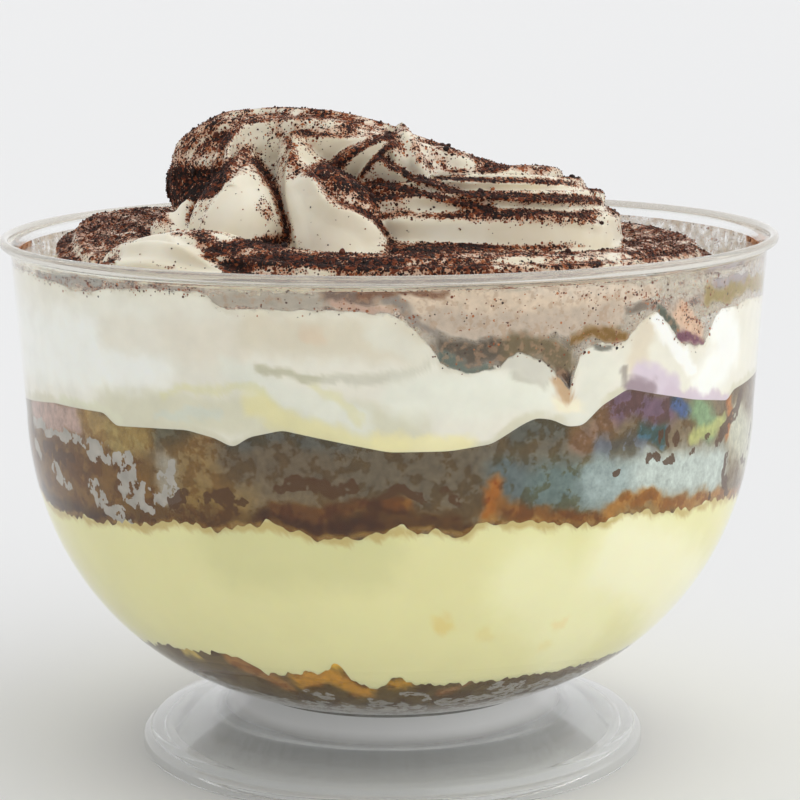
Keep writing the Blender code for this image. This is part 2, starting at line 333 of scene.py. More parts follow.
def turned_piece(name, profile):
    """Extrudes a profile of (radius, height) points from one vertex and spins it into a closed skin."""
    deselect()
    bpy.ops.mesh.primitive_plane_add(size=MM)
    piece = bpy.context.object
    piece.name = piece.data.name = name
    edit(piece, "SELECT")
    bpy.ops.mesh.merge(type="CENTER")
    bpy.ops.transform.translate(value=(profile[0][0] * MM, 0, profile[0][1] * MM))
    for before, after in zip(profile, profile[1:]):
        step = ((after[0] - before[0]) * MM, 0, (after[1] - before[1]) * MM)
        bpy.ops.mesh.extrude_region_move(TRANSFORM_OT_translate={"value": step})
    bpy.ops.mesh.select_all(action="SELECT")
    bpy.ops.mesh.spin(steps=ROUND_STEPS, angle=2 * math.pi, center=(0, 0, 0), axis=(0, 0, 1))
    bpy.ops.mesh.select_all(action="SELECT")
    bpy.ops.mesh.remove_doubles(threshold=WELD * MM)
    bpy.ops.mesh.normals_make_consistent(inside=False)
    done()
    smooth(piece, SHARP_EDGE)
    print(name, triangles(piece), "triangles")
    return piece


# %% [markdown]
# The bowl itself is one closed skin: up the inside, round the thickened rim and down the outside.

# %% The clear bowl
RIM = (
    (52.0, 71.5), (52.35, 72.4), (52.9, 73.2), (53.7, 73.8), (54.2, 73.7), (54.1, 73.2), (53.7, 72.7),
    WALL_TOP)

outside = belly()
inside = moved_in(np.vstack([outside, WALL_TOP]), WALL)[:-1]
inside[0, 0] = 0
bowl = turned_piece("clear_bowl", [tuple(point) for point in np.vstack([inside, RIM, outside[::-1]])])

# %% [markdown]
# The lip and the foot are the thick parts of the moulding, and their plastic looks a little cloudy.
# They are pieces of their own, which reach just into the wall. A thin collar, where the foot grows out
# of the belly, is a painted reflection: a nearly white band that stands in for the light that the
# steep stem reflects.

# %% The thick parts of the bowl
LIP_MIDDLE = (54.32, 74.0)
LIP_RADIUS = 0.68
LIP_STEPS = 25
STEM_RADIUS = 21.5
FOOT_TOP = (
    (21.5, 8.9), (22.6, 7.5), (24.2, 6.3), (26.2, 5.3), (28.8, 4.5), (32, 3.8), (34.5, 3.4), (35.2, 3.05))
FOOT_BEAD = ((35.35, 2.6), (35.5, 2.25), (35.9, 2.1), (36.25, 1.95), (36.5, 1.6))
FOOT_EDGE = ((36.5, 0.35), (36.4, 0.1), (36.1, 0), (32.8, 0), (32.6, 0.1), (32.5, 0.4))
FOOT_HOLLOW = ((32.6, 1.6), (32.0, 2.2), (28, 2.9), (24, 4.0), (20, 5.1), (16, 5.8), (11, 6.1), (0, 6.1))
COLLAR = (
    (21.5, 8.96), (22.65, 7.55), (24.24, 6.34), (26.1, 5.38), (25.9, 5.2), (24.0, 6.1), (22.35, 7.3),
    (21.2, 8.7), (21.5, 8.96))


def circle(middle, radius, steps):
    """A closed round profile."""
    turns = np.radians(np.linspace(0, 360, steps))
    return np.column_stack([middle[0] + radius * np.cos(turns), middle[1] + radius * np.sin(turns)])


root = moved_in(outside, WALL / 2)[outside[:, 0] < STEM_RADIUS]
root[0, 0] = 0
foot_profile = np.vstack([root, FOOT_TOP, FOOT_BEAD, FOOT_EDGE, FOOT_HOLLOW])
foot = turned_piece("cloudy_foot", [tuple(point) for point in foot_profile])
lip = turned_piece("cloudy_lip", [tuple(point) for point in circle(LIP_MIDDLE, LIP_RADIUS, LIP_STEPS)])
collar = turned_piece("stem_reflection_collar", COLLAR)

# %% [markdown]
# Clear plastic bends what is seen through it, so the look needs true transmission. Light that only
# passes through on its way to the food would make noise and dark patches that way, so for shadows and
# soft light the plastic acts as a plain tinted sheet, which the Light Path node chooses. The wall
# mirrors little, which leaves the colours of the food deep.

# %% Clear plastic
PLASTIC_BENDING = 1.5
WALL_TINT = (0.93, 0.94, 0.935, 1)


def let_light_through(material, tint):
    """Lamps and soft light pass the material straight, as through a thin clear sheet."""
    tree = material.node_tree
    path = node(tree, "LightPath", {})
    either = number(tree, "MAXIMUM", path.outputs["Is Shadow Ray"], path.outputs["Is Diffuse Ray"])
    straight = node(tree, "BsdfTransparent", {"Color": tint})
    mix = node(tree, "MixShader", {"Fac": either})
    tree.links.new(shader_of(material).outputs["BSDF"], mix.inputs[1])
    tree.links.new(straight.outputs["BSDF"], mix.inputs[2])
    tree.links.new(mix.outputs["Shader"], tree.nodes["Material Output"].inputs["Surface"])


clear_plastic = new_material(
    "clear_plastic", Base_Color=(0.98, 0.985, 0.98, 1), Roughness=0.03, IOR=PLASTIC_BENDING,
    Transmission_Weight=1.0, Specular_IOR_Level=0.15)
let_light_through(clear_plastic, WALL_TINT)
finish(bowl, clear_plastic)
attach(bowl, "root")
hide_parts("bowl")
print(bowl.name, "in", clear_plastic.name, "that bends light by", PLASTIC_BENDING)

# %% [markdown]
# The thick parts mix a little plain white into the transmission. The foot is painted paler on its stem
# than on its flare, by its height: painted light on the steep stem, which catches the light from the
# front, and painted shade on the flare, over the shadowed floor. The collar fades out downwards, so
# that it shows no edge.

# %% Cloudy plastic
CLOUDY = {
    foot: dict(Transmission_Weight=0.8),
    lip: dict(Base_Color=(0.78, 0.75, 0.69, 1), Transmission_Weight=0.75),
    # The collar is a painted reflection: plain white, with no transmission.
    collar: dict(Base_Color=(0.9, 0.905, 0.91, 1), Transmission_Weight=0.0),
}
CLOUDY_GLOSS = dict(Roughness=0.06, IOR=PLASTIC_BENDING, Specular_IOR_Level=0.35)
STEM_HEIGHTS = (5.2, 7.4)
# Base colours of the foot by height: painted light on the stem, painted shade on the flare.
STEM_PAINTED_LIGHT = (1, 1, 0.99, 1)
FLARE_PAINTED_SHADE = (0.82, 0.825, 0.82, 1)
COLLAR_COVER = 0.75


def stem_share(tree):
    """0 on the flare of the foot and 1 on its stem, by height."""
    place = node(tree, "SeparateXYZ", {"Vector": node(tree, "TexCoord", {}).outputs["Object"]})
    return fade(tree, place.outputs["Z"], *[height * MM for height in STEM_HEIGHTS])


for piece, values in CLOUDY.items():
    cloudy = new_material(piece.name, **CLOUDY_GLOSS, **values)
    let_light_through(cloudy, WALL_TINT)
    finish(piece, cloudy)
    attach(piece, "root")

foot_look, collar_look = foot.data.materials[0], collar.data.materials[0]
# The foot's base colour goes from the flare's painted shade to the stem's painted light.
tree = foot_look.node_tree
put(tree, blend(tree, stem_share(tree), FLARE_PAINTED_SHADE, STEM_PAINTED_LIGHT), shader_of(foot_look).inputs["Base Color"])
# The collar's painted reflection fades out downwards.
tree = collar_look.node_tree
put(tree, number(tree, "MULTIPLY", stem_share(tree), COLLAR_COVER), shader_of(collar_look).inputs["Alpha"])
print("cloudy plastic on", ", ".join(piece.name for piece in CLOUDY))

# %% [markdown]
# The layers meet along wavy lines, which show all round through the wall. Each line is a list of
# heights by degrees from the front. Between the listed points it is straight, and a short average
# rounds its corners. Noise in two sizes adds the small crumbly steps of a sponge.

# %% Where the layers meet
FULL_TURN = 720
ANGLES = (np.arange(FULL_TURN) - FULL_TURN // 2) * 360 / FULL_TURN
CRUMB_WAVES = ((1.1, 0.65), (2.6, 0.35))
CRUMB_RADIUS = 52
CREAM_TOP = (
    (-150, 69.5), (-118, 69), (-90, 70.2), (-81, 71.2), (-65, 71.8), (-56, 71.6), (-51.5, 70.6),
    (-46.5, 70.8), (-43, 71.6), (-35, 72.1), (-26.5, 72.2), (-24.3, 71.3), (-22.5, 70), (-17, 70.3),
    (-8, 70.3), (0, 70),
    (2.5, 68.6), (5, 66.5), (7, 64), (9, 62.9), (11.5, 62.5), (15.5, 63.2), (16.4, 64.2), (17.9, 64.9),
    (19.5, 64.5), (21, 63.6), (22.7, 62.5), (24.3, 61.1), (25.3, 59.8), (26, 59.2), (26.6, 61), (27.3, 63.3),
    (28.8, 64.7), (31, 65), (33.6, 64.6), (35.5, 65.2), (37.5, 66.9), (39.8, 68.4), (41.2, 68), (43.1, 66.8),
    (45, 64.8), (47, 63.6), (50, 62.8), (52, 62.9), (53.4, 64.2), (54.7, 66), (56.5, 67.1), (62.5, 66.9),
    (65.5, 67.5), (82, 66.2), (100, 67), (120, 65), (150, 67.5), (175, 69.5),
)
CREAM_BOTTOM = (
    (-150, 54.6), (-115, 53), (-81, 52.2), (-70, 53.3), (-60, 54.4), (-46, 54.8), (-43.5, 53.3),
    (-37, 53.7), (-30, 54), (-25.5, 53.3), (-22.5, 52.2), (-20, 53.7), (-15, 54.8), (-8.5, 53.7),
    (0, 52.2), (8.5, 52.2), (14.5, 52.9), (19, 55.2), (21, 55.9), (23.5, 55.5), (26, 54.4),
    (28.5, 54.4), (31.5, 56.7), (36, 58.5), (41, 57.4), (50.5, 55.5), (61, 54), (63.5, 55.2),
    (74.5, 55.5), (82, 55.5), (100, 54), (130, 55.5), (165, 53.6),
)
MIDDLE_BOTTOM = (
    (-150, 40), (-110, 41.4), (-80, 40.2), (-68, 38.7), (-51.5, 39.5), (-39, 40.5), (-33, 41.7),
    (-25.5, 41.2), (-17.5, 43), (-13, 41.7), (-10.5, 40.5), (-4.5, 41.2), (1.5, 42.3), (7.5, 41.7),
    (10.5, 41), (13, 42.8), (19.5, 42.5), (26, 41.5), (34, 41), (36.5, 42.3), (40.5, 42),
    (51, 40.5), (59, 40.5), (79, 38.2), (110, 40.6), (145, 39.6), (175, 41.6),
)
CUSTARD_BOTTOM = (
    (-150, 19.8), (-105, 19.4), (-85, 20.2), (-66, 19.6), (-50, 21.3), (-31, 22.3),
    (-25.5, 19.7), (-14, 20.6), (-10, 22.7),
    (-7.5, 19.6), (-3.5, 17.5), (0.5, 20.1), (6, 18.6), (20, 18.5), (41.5, 18.5), (66, 18.7), (82, 19.3),
    (100, 19.6), (140, 17.9), (175, 19.5),
)


def edge_line(knots, rounding, crumble=0.0, seed=0):
    """Heights for each of the angles, rounded over some degrees, with small crumbly steps if asked."""
    degrees, heights = zip(*sorted(knots))
    line = np.interp(ANGLES, degrees, heights, period=360)
    reach = max(1, round(rounding * FULL_TURN / 360))
    weights = np.hanning(2 * reach + 1)
    weights /= weights.sum()
    wrapped = np.concatenate([line[-reach:], line, line[:reach]])
    line = np.convolve(wrapped, weights, mode="valid")
    spots = [Vector((math.cos(turn), math.sin(turn), seed)) for turn in np.radians(ANGLES)]
    for wave, share in CRUMB_WAVES:
        steps = [noise.noise(spot * CRUMB_RADIUS / wave) for spot in spots]
        line = line + crumble * share * np.array(steps)
    return line


cream_top = edge_line(CREAM_TOP, 0.7)
cream_bottom = edge_line(CREAM_BOTTOM, 1.5)
middle_bottom = edge_line(MIDDLE_BOTTOM, 0.8, crumble=1.3, seed=3)
custard_bottom = edge_line(CUSTARD_BOTTOM, 1.2, crumble=1.2, seed=8)
print("cream at the wall from", round(cream_bottom.min(), 1), "to", round(cream_top.max(), 1), "mm")


# %% [markdown]
# A layer is a round block that fills the bowl between two such lines. It starts as a circle of
# vertices, which is extruded up row by row and closed with rings that shrink to the middle. Then
# each vertex goes to its height, and to the bowl's radius there. The blocks reach a tenth of a
# millimetre into the wall, so that no film of air shows between the food and the plastic.

# %% Making a layer
PRESS = 0.1
FLATTENING = 6
CAP_RINGS = (0.985, 0.96, 0.92, 0.86, 0.78, 0.66, 0.5, 0.3, 0.12)


def round_block(name, rows):
    """A unit drum: a wall of rows from height 0 to 1, and both ends closed by rings."""
    deselect()
    bpy.ops.mesh.primitive_circle_add(vertices=FULL_TURN, radius=1, fill_type="NOTHING")
    block = bpy.context.object
    block.name = block.data.name = name
    edit(block, "SELECT")
    for _ in range(rows):
        bpy.ops.mesh.extrude_region_move(TRANSFORM_OT_translate={"value": (0, 0, 1 / rows)})
    close_end()
    bpy.ops.mesh.select_all(action="DESELECT")
    bpy.ops.mesh.select_mode(type="VERT")
    shell = bmesh.from_edit_mesh(block.data)
    for vertex in shell.verts:
        vertex.select = abs(vertex.co.z) < WELD
    shell.select_flush(True)
    bmesh.update_edit_mesh(block.data)
    close_end()
    bpy.ops.mesh.select_all(action="SELECT")
    bpy.ops.mesh.normals_make_consistent(inside=False)
    return done()


def close_end():
    """Closes the selected ring of vertices with smaller rings and a point in the middle."""
    size = 1
    for ring in CAP_RINGS:
        bpy.ops.mesh.extrude_region_move()
        bpy.ops.transform.resize(value=(ring / size, ring / size, 1), center_override=(0, 0, 0))
        size = ring
    bpy.ops.mesh.extrude_region_move()
    bpy.ops.mesh.merge(type="CENTER")


def layer(name, bottom, top, bottom_middle, top_middle, rows, crowd=1):
    """A layer between two wavy lines, whose ends flatten inwards. Rows can crowd towards its bottom."""
    block = round_block(name, rows)
    spots = points_of(block) * MM
    share = np.hypot(spots[:, 0], spots[:, 1])
    turn = np.arctan2(spots[:, 0], -spots[:, 1])
    degrees = np.degrees(turn)
    low = np.interp(degrees, ANGLES, bottom, period=360)
    high = np.interp(degrees, ANGLES, top, period=360)
    edge = low + (high - low) * spots[:, 2] ** crowd
    middle = bottom_middle + (top_middle - bottom_middle) * spots[:, 2]
    height = middle + (edge - middle) * share ** FLATTENING
    radius = wall_radius(edge, WALL - PRESS) * share
    move_points(block, np.column_stack([radius * np.sin(turn), -radius * np.cos(turn), height]))
    smooth(block)
    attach(block, "root")
    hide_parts(name.removesuffix("_filling"))
    return block


# %% [markdown]
# From the bottom up: a thin soaked sponge, a thick band of custard, a second sponge, and the cream
# whose wavy edge rises and falls below the rim.

# %% The four layers
BASE_FLOOR = BELLY_BOTTOM + WALL - PRESS + 0.02
CUSTARD_MIDDLE, SPONGE_MIDDLE, CREAM_MIDDLE, CREAM_DIP = 19, 41, 54, 63
SPONGE_ROWS, SMOOTH_ROWS = 48, 40

base_bottom = np.full(FULL_TURN, BASE_FLOOR)
sponge_base = layer(
    "sponge_base_filling", base_bottom, custard_bottom, BASE_FLOOR, CUSTARD_MIDDLE, SPONGE_ROWS, crowd=2)
custard = layer(
    "custard_filling", custard_bottom, middle_bottom, CUSTARD_MIDDLE, SPONGE_MIDDLE, SMOOTH_ROWS)
sponge_middle = layer(
    "sponge_middle_filling", middle_bottom, cream_bottom, SPONGE_MIDDLE, CREAM_MIDDLE, SPONGE_ROWS)
cream = layer("cream_layer_filling", cream_bottom, cream_top, CREAM_MIDDLE, CREAM_DIP, SMOOTH_ROWS)
layer_slots = {sponge_base: "wet_sponge", custard: "custard", sponge_middle: "soaked_sponge", cream: "cream"}
for piece, slot in layer_slots.items():
    print(piece.name, triangles(piece), "triangles")

# %% [markdown]
# Cream and cocoa also smear the wall above the cream's edge. That film is a band of the bowl's inner
# side between the edge and the rim, which a Solidify modifier gives a little thickness. It laps over
# the cream's edge, so that no gap shows between the two.

# %% The film on the wall
FILM_TOP = 72.7
FILM_ROWS = 34
FILM_THICKNESS = 0.15
FILM_LAP = 1.0
FILM_LIFT = 0.04

deselect()
bpy.ops.mesh.primitive_circle_add(vertices=FULL_TURN, radius=1, fill_type="NOTHING")
film = bpy.context.object
film.name = film.data.name = "wall_film"
edit(film, "SELECT")
for _ in range(FILM_ROWS):
    bpy.ops.mesh.extrude_region_move(TRANSFORM_OT_translate={"value": (0, 0, 1 / FILM_ROWS)})
done()
spots = points_of(film) * MM
turn = np.arctan2(spots[:, 0], -spots[:, 1])
low = np.interp(np.degrees(turn), ANGLES, cream_top, period=360) - FILM_LAP
height = low + (FILM_TOP - low) * spots[:, 2]
radius = wall_radius(height, WALL - PRESS - FILM_LIFT)
move_points(film, np.column_stack([radius * np.sin(turn), -radius * np.cos(turn), height]))
edit(film, "SELECT")
bpy.ops.mesh.normals_make_consistent(inside=False)
done()
apply_modifier(film, "SOLIDIFY", thickness=FILM_THICKNESS * MM, offset=-1)
smooth(film)
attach(film, "root")
print("film", triangles(film), "triangles")

# %% [markdown]
# The piped cream is rope over rope, pressed from a bag with a toothed tip. Each rope is a curve with
# a fluted outline swept along it. The outline is a closed list of (angle, reach) that is smoothed,
# so that the fins are soft as cream. Lone blades and plump lobes fan out where the tip lifted off, and
# narrow ledges show where it dragged. Every line is a list of (x, y, z, size) in millimetres.

# %% Lines of the piped cream
RING_SECTION = (
    (-140, 0.8), (-70, 1.0), (-30, 1.0), (8, 1.0), (24, 0.84), (38, 1.0), (54, 0.82), (68, 1.0),
    (84, 0.84), (98, 1.03), (110, 0.95), (122, 1.22), (131, 1.2), (139, 1.5), (160, 1.3),
)
COIL_SECTION = (
    (-130, 0.85), (-62, 1.12), (-32, 1.12), (-4, 1.0), (10, 0.97), (19, 1.02), (33, 0.8), (46, 1.02),
    (60, 0.8), (73, 1.02), (87, 0.8), (100, 1.0), (117, 0.8), (134, 1.0), (170, 0.85),
)
CROWN_SECTION = (
    (-120, 0.85), (-60, 0.95), (-22, 1.0), (12, 0.84), (38, 0.86), (64, 0.98), (80, 0.88), (95, 1.03),
    (112, 0.86), (128, 1.0), (165, 0.85),
)
ROPES = {
    "ring_left": (RING_SECTION, (
        (-5, 38, 66.0, 3.0), (-12, 37, 66.5, 6.6), (-25, 31, 67.6, 7.4), (-36, 20, 68.4, 7.8),
        (-40.5, 7, 68.8, 8.0), (-40.5, -7, 67.6, 7.6), (-37.5, -16, 66.0, 6.6), (-35, -21, 65.0, 3.0),
    )),
    "ring_front": (RING_SECTION, (
        (-38.0, -23, 67.5, 2.5), (-35.0, -26, 68.6, 6.4), (-29.5, -31, 69.6, 8.0), (-22, -35.5, 68.6, 8.0),
        (-12, -39, 67.8, 7.8), (0, -40.3, 67.4, 7.8), (14, -38.3, 67.2, 7.8), (27, -31, 66.8, 7.6),
        (36.5, -19, 66.4, 7.4), (40.5, -4, 66.0, 7.2), (39.5, 11, 66.0, 7.4), (32, 25, 66.2, 7.4),
        (19, 35, 66.4, 7.2), (7, 39, 66.2, 5.5), (2, 39.6, 66.0, 2.5),
    )),
    "coil": (COIL_SECTION, (
        (-14, -9, 74.5, 3.0), (-8, -11.5, 75.0, 6.4), (2, -13.2, 75.4, 7.8), (12, -12.6, 75.4, 8.4),
        (20.5, -8, 74.8, 8.5), (24.8, 1, 73.8, 8.5), (23, 11, 73.0, 8.5), (15, 19, 73.0, 8.4),
        (4, 23, 73.8, 8.4), (-8, 23, 75.2, 8.4), (-18, 19, 77.0, 8.6), (-22.5, 11, 79.2, 8.6),
        (-23, 5, 80.5, 5.0),
    )),
    "crown": (CROWN_SECTION, (
        (-31, 5, 80.6, 2.5), (-28, 3.5, 81.0, 7.0), (-23, 1, 81.8, 9.3), (-18, -1.6, 83.0, 9.0),
        (-12, -3.0, 83.6, 8.5), (-5, -3.8, 83.2, 7.8), (2.5, -3.8, 81.4, 7.0), (9, -0.5, 79.2, 6.8),
        (12, 6, 78.0, 6.6), (7, 12.5, 77.4, 6.4), (-2, 13, 77.6, 5.6), (-9, 8, 78.0, 3.0),
    )),
}
BLADE_THINNESS = 0.5
BLADES = (
    ((0.3, -1.0, 0.5), (
        (1.6, -3.5, 88.9, 1.6), (2.6, -7, 86.4, 2.8), (3.9, -11, 82.6, 3.2), (4.6, -14, 79, 2.4))),
    ((0.0, -1.0, 0.1), ((-21.6, -6, 89.0, 1.4), (-23, -9.2, 85.0, 2.6), (-23.4, -10.5, 80.5, 2.6))),
    ((-0.5, -1.0, 0.2), ((-26.5, -11, 80.0, 1.2), (-27.4, -14.5, 77.0, 2.6), (-26.0, -17, 73.0, 2.6))),
)
LOBES = (
    ((-19.6, -9.5, 86.6, 0.9), (-20.1, -13.0, 82.2, 4.0), (-20.6, -16.5, 77, 6.4), (-21.0, -20, 71, 5.2)),
    ((-13.4, -8.5, 88.6, 1.5), (-12, -12.5, 83.4, 4.0), (-7.8, -17.2, 76.8, 7.0), (-5.5, -21.5, 69.8, 6.0)),
    ((-31.2, -11, 74.5, 1.6), (-30.0, -15, 76.2, 2.6), (-29, -19, 73.4, 2.6)),
    ((-15, 11, 74.0, 6.0), (-8, 7.0, 77.0, 8.0), (1, 4.0, 76.0, 8.0), (8, 3, 73.0, 5.0)),
    ((-13, -6.5, 86.5, 3.2), (-6, -7.5, 85.0, 4.8), (1, -8.5, 81.5, 5.4), (4, -9, 78.0, 4.6)),
)
LEDGE_SECTION = (
    (-180, 1.0), (-135, 1.2), (-90, 1.0), (-45, 1.2), (0, 1.0), (45, 1.22), (90, 1.0), (135, 1.22))
LEDGES = (
    ((4, -4, 85.0, 1.5), (7, -4, 84.4, 2.3), (10.5, -3.6, 82.9, 2.3), (14.5, -1.5, 81.9, 2.2),
     (17.5, 1, 81.4, 1.8)),
    ((6, -6, 82.0, 1.4), (12, -5.4, 81.3, 2.3), (18, -3.5, 81.5, 2.3), (22.2, -0.5, 81.2, 2.2),
     (23, 4, 80.6, 1.8)),
    ((5, -11, 80.5, 1.4), (11, -9.5, 79.6, 2.2), (19, -7.6, 79.6, 2.3), (26, -2.5, 78.4, 2.3),
     (28.2, 4, 77.4, 1.9)),
)
print(len(ROPES), "ropes,", len(BLADES), "blades,", len(LOBES), "lobes and", len(LEDGES), "ledges")

# %% [markdown]
# Blender's curve with a bevel object does the sweeping: the outline is a flat closed curve, the line is
# a Bezier curve through the points, and each point's radius sets the size there. A tilt turns a blade
# so that it stands outward. The curve is then converted to a mesh.

# %% Sweeping the strands
SECTION_STEPS = 90
SWEEP_STEPS = 10


def outline(name, angles, reaches, thinness=1.0):
    """A closed flat curve to sweep, from angles and how far out it reaches at each."""
    every = np.linspace(-180, 180, SECTION_STEPS, endpoint=False)
    reach = np.interp(every, angles, reaches, period=360)
    reach = (np.roll(reach, 1) + 2 * reach + np.roll(reach, -1)) / 4
    turns = np.radians(every)
    curve = bpy.data.curves.new(name, "CURVE")
    line = curve.splines.new("POLY")
    line.points.add(SECTION_STEPS - 1)
    for point, far, turn in zip(line.points, reach, turns):
        point.co = (thinness * far * math.cos(turn) * MM, far * math.sin(turn) * MM, 0, 1)
    line.use_cyclic_u = True
    thing = bpy.data.objects.new(name, curve)
    bpy.context.scene.collection.objects.link(thing)
    return thing


def lean(points, index, outward):
    """How far the section is tilted about its line so that its height points outward."""
    before = Vector(points[max(index - 1, 0)][:3])
    after = Vector(points[min(index + 1, len(points) - 1)][:3])
    tangent = (after - before).normalized()
    upright = (Vector((0, 0, 1)) - tangent * tangent.z).normalized()
    across = (outward - tangent * tangent.dot(outward)).normalized()
    return math.atan2(tangent.dot(upright.cross(across)), upright.dot(across))


def strand(points, section, outward=None):
    """Cream swept along (x, y, z, size) points, as a mesh."""
    deselect()
    bpy.ops.curve.primitive_bezier_curve_add()
    thing = bpy.context.object
    curve = thing.data
    curve.splines.clear()
    curve.twist_mode = "Z_UP"
    curve.resolution_u = SWEEP_STEPS
    curve.bevel_mode = "OBJECT"
    curve.bevel_object = section
    curve.use_fill_caps = True
    line = curve.splines.new("BEZIER")
    line.radius_interpolation = "CARDINAL"
    line.tilt_interpolation = "CARDINAL"
    line.bezier_points.add(len(points) - 1)
    for index, (knot, (x, y, z, size)) in enumerate(zip(line.bezier_points, points)):
        knot.co = Vector((x, y, z)) * MM
        knot.radius = size
        knot.handle_left_type = knot.handle_right_type = "AUTO"
        knot.tilt = lean(points, index, Vector(outward)) if outward else 0.0
    bpy.ops.object.convert(target="MESH")
    return bpy.context.object


sections = []
strands = []
for name, (section, points) in ROPES.items():
    sections.append(outline(name, *zip(*section)))
    strands.append(strand(points, sections[-1]))
sections.append(outline("blade", (-180, 180), (1, 1), BLADE_THINNESS))
for outward, points in BLADES:
    strands.append(strand(points, sections[-1], outward))
sections.append(outline("lobe", (-180, 180), (1, 1)))
for points in LOBES:
    strands.append(strand(points, sections[-1]))
sections.append(outline("ledge", *zip(*LEDGE_SECTION)))
for points in LEDGES:
    strands.append(strand(points, sections[-1]))
print(len(strands), "strands")

# %% [markdown]
# All strands and a low heap under them are joined, and a voxel remesh runs them into one soft skin,
# as cream does. A light smoothing takes off the steps of the voxels, and a cut takes off what lies
# hidden inside the cream layer.

# %% One skin of cream
VOXEL = 0.38
HEAP_HALF_SIZES = (39.0, 39.0, 11.0)
HEAP_HEIGHT = 66.0
HIDDEN_BELOW = 59.5
SKIN_WELD = 0.01

deselect()
bpy.ops.mesh.primitive_uv_sphere_add(
    segments=64, ring_count=32, radius=MM, location=(0, 0, HEAP_HEIGHT * MM), scale=HEAP_HALF_SIZES)
heap = bpy.context.object
deselect()
for thing in (*strands, heap):
    thing.select_set(True)
bpy.context.view_layer.objects.active = heap
bpy.ops.object.join()
bpy.ops.object.transform_apply(location=True, rotation=True, scale=True)
swirl = bpy.context.object
swirl.name = swirl.data.name = "piped_cream"
edit(swirl, "SELECT")
bpy.ops.mesh.remove_doubles(threshold=SKIN_WELD * MM)
bpy.ops.mesh.normals_make_consistent(inside=False)
done()
apply_modifier(swirl, "REMESH", mode="VOXEL", voxel_size=VOXEL * MM)
edit(swirl, "SELECT")
bpy.ops.mesh.bisect(
    plane_co=(0, 0, HIDDEN_BELOW * MM), plane_no=(0, 0, 1), clear_inner=True, use_fill=True)
done()
for section in sections:
    bpy.data.objects.remove(section)
print("piped cream", triangles(swirl), "triangles before sculpting")

# %% [markdown]
# The folds where one fin laps over the next are sculpted. A stroke of the brush follows a line over
# the front of the swirl. A "ridge" stroke pulls the cream under it towards the viewer, or pushes it
# in when its strength is below zero. A "step" stroke pulls the cream on its right-hand side forward
# and sinks the cream on its left, which leaves a small ledge along the line.

# %% Lines of the folds
SCULPT_STROKES = (
    (3.4, 4.0, "step", (
        (-10.0, -17, 84.6), (-7.9, -15, 85.7), (-5.5, -12, 87.0), (-2.5, -12, 88.2), (0.3, -9, 89.0))),
    (2.6, 2.6, "step", ((-4.0, -14, 83.7), (-3.0, -13, 84.7), (-1.8, -13, 86.1), (-0.6, -12, 87.2))),
    (1.0, 1.6, "step", ((-11.6, -11, 89.0), (-8.5, -11, 89.1), (-5.2, -11, 88.6), (0, -8, 89.1))),
    (2.8, 3.2, "step", (
        (-12.8, -14, 87.3), (-11.1, -17, 85.5), (-9.7, -20, 83.8), (-8.6, -21, 81.8), (-6.7, -22, 80.3),
        (-4.3, -22, 79.6), (-2.1, -22, 78.2), (-0.3, -22, 76.2), (0, -22, 73.5))),
    (2.2, 2.4, "step", (
        (-12.4, -22, 74.0), (-13.2, -22, 77.9), (-14.0, -20, 81.2), (-14.1, -17, 84.6), (-13.3, -12, 88.3))),
    (2.2, 2.4, "step", ((-18.3, -12, 86.2), (-17.0, -16, 83.9), (-15.2, -19, 81.1), (-14.0, -20, 77.0))),
    (1.8, 2.0, "step", (
        (-25.2, -20, 75.7), (-25.4, -21, 77.2), (-24.8, -21, 78.9), (-23.3, -20, 81.1), (-21.1, -18, 83.4),
        (-18.6, -14, 86.0))),
    (2.4, 2.4, "step", ((-22.3, -14, 81.5), (-22.6, -13, 84.7), (-22.3, -11, 87.6), (-20.9, -8, 90.1))),
    (-2.0, 4.5, "ridge", ((-16.9, -7, 90.4), (-17.3, -9, 88.1), (-16.6, -10, 85.6))),
    (0.8, 1.4, "ridge", ((-21.2, -8, 89.4), (-21.5, -11, 86.9), (-21.2, -14, 83.2))),
    (1.8, 2.0, "step", ((-20.9, -6, 90.5), (-16.7, -7, 91.1), (-11.7, -7, 91.2), (-8.1, -7, 90.8))),
    (-1.8, 3.5, "ridge", ((-30.2, -4, 80.5), (-27.3, -7, 81.9), (-24.2, -9, 82.0))),
    (-0.6, 1.2, "ridge", ((-28.7, -4, 84.5), (-26.3, -5, 87.2), (-22.7, -8, 89.6))),
    (2.2, 1.7, "step", (
        (6.5, -12, 82.6), (11.9, -12, 82.3), (18.0, -10, 82.0), (23.7, -5, 81.3), (25.4, -3, 80.8))),
    (3.2, 2.3, "step", (
        (-0.6, -13, 85.5), (3.4, -15, 83.4), (7.3, -15, 82.0), (10.6, -16, 80.9), (19.2, -14, 80.2),
        (29.6, -6, 79.2))),
    (1.8, 1.8, "step", (
        (-5.1, -18, 83.3), (-1.1, -16, 82.6), (2.9, -17, 82.0), (7.0, -18, 80.7), (13.8, -19, 79.4),
        (21.9, -16, 78.6), (25.7, -13, 77.8), (28.7, -10, 76.5))),
    (0.9, 1.2, "step", ((0.6, -14, 84.2), (0.4, -12, 86.8), (0.5, -5, 89.6))),
    (0.8, 1.2, "step", (
        (0.2, -44, 74.4), (7.8, -43, 74.7), (16.7, -41, 74.7), (27.3, -35, 73.9), (33.6, -30, 73.3))),
    (2.2, 2.2, "step", ((-27.7, -35, 77.6), (-25.3, -38, 76.3), (-22.4, -40, 74.8), (-18.9, -43, 73.8))),
    (1.8, 2.0, "step", ((-35.3, -35, 73.8), (-34.4, -32, 76.4), (-31.3, -29, 77.9))),
)
print(len(SCULPT_STROKES), "strokes of (strength, width, kind, line)")

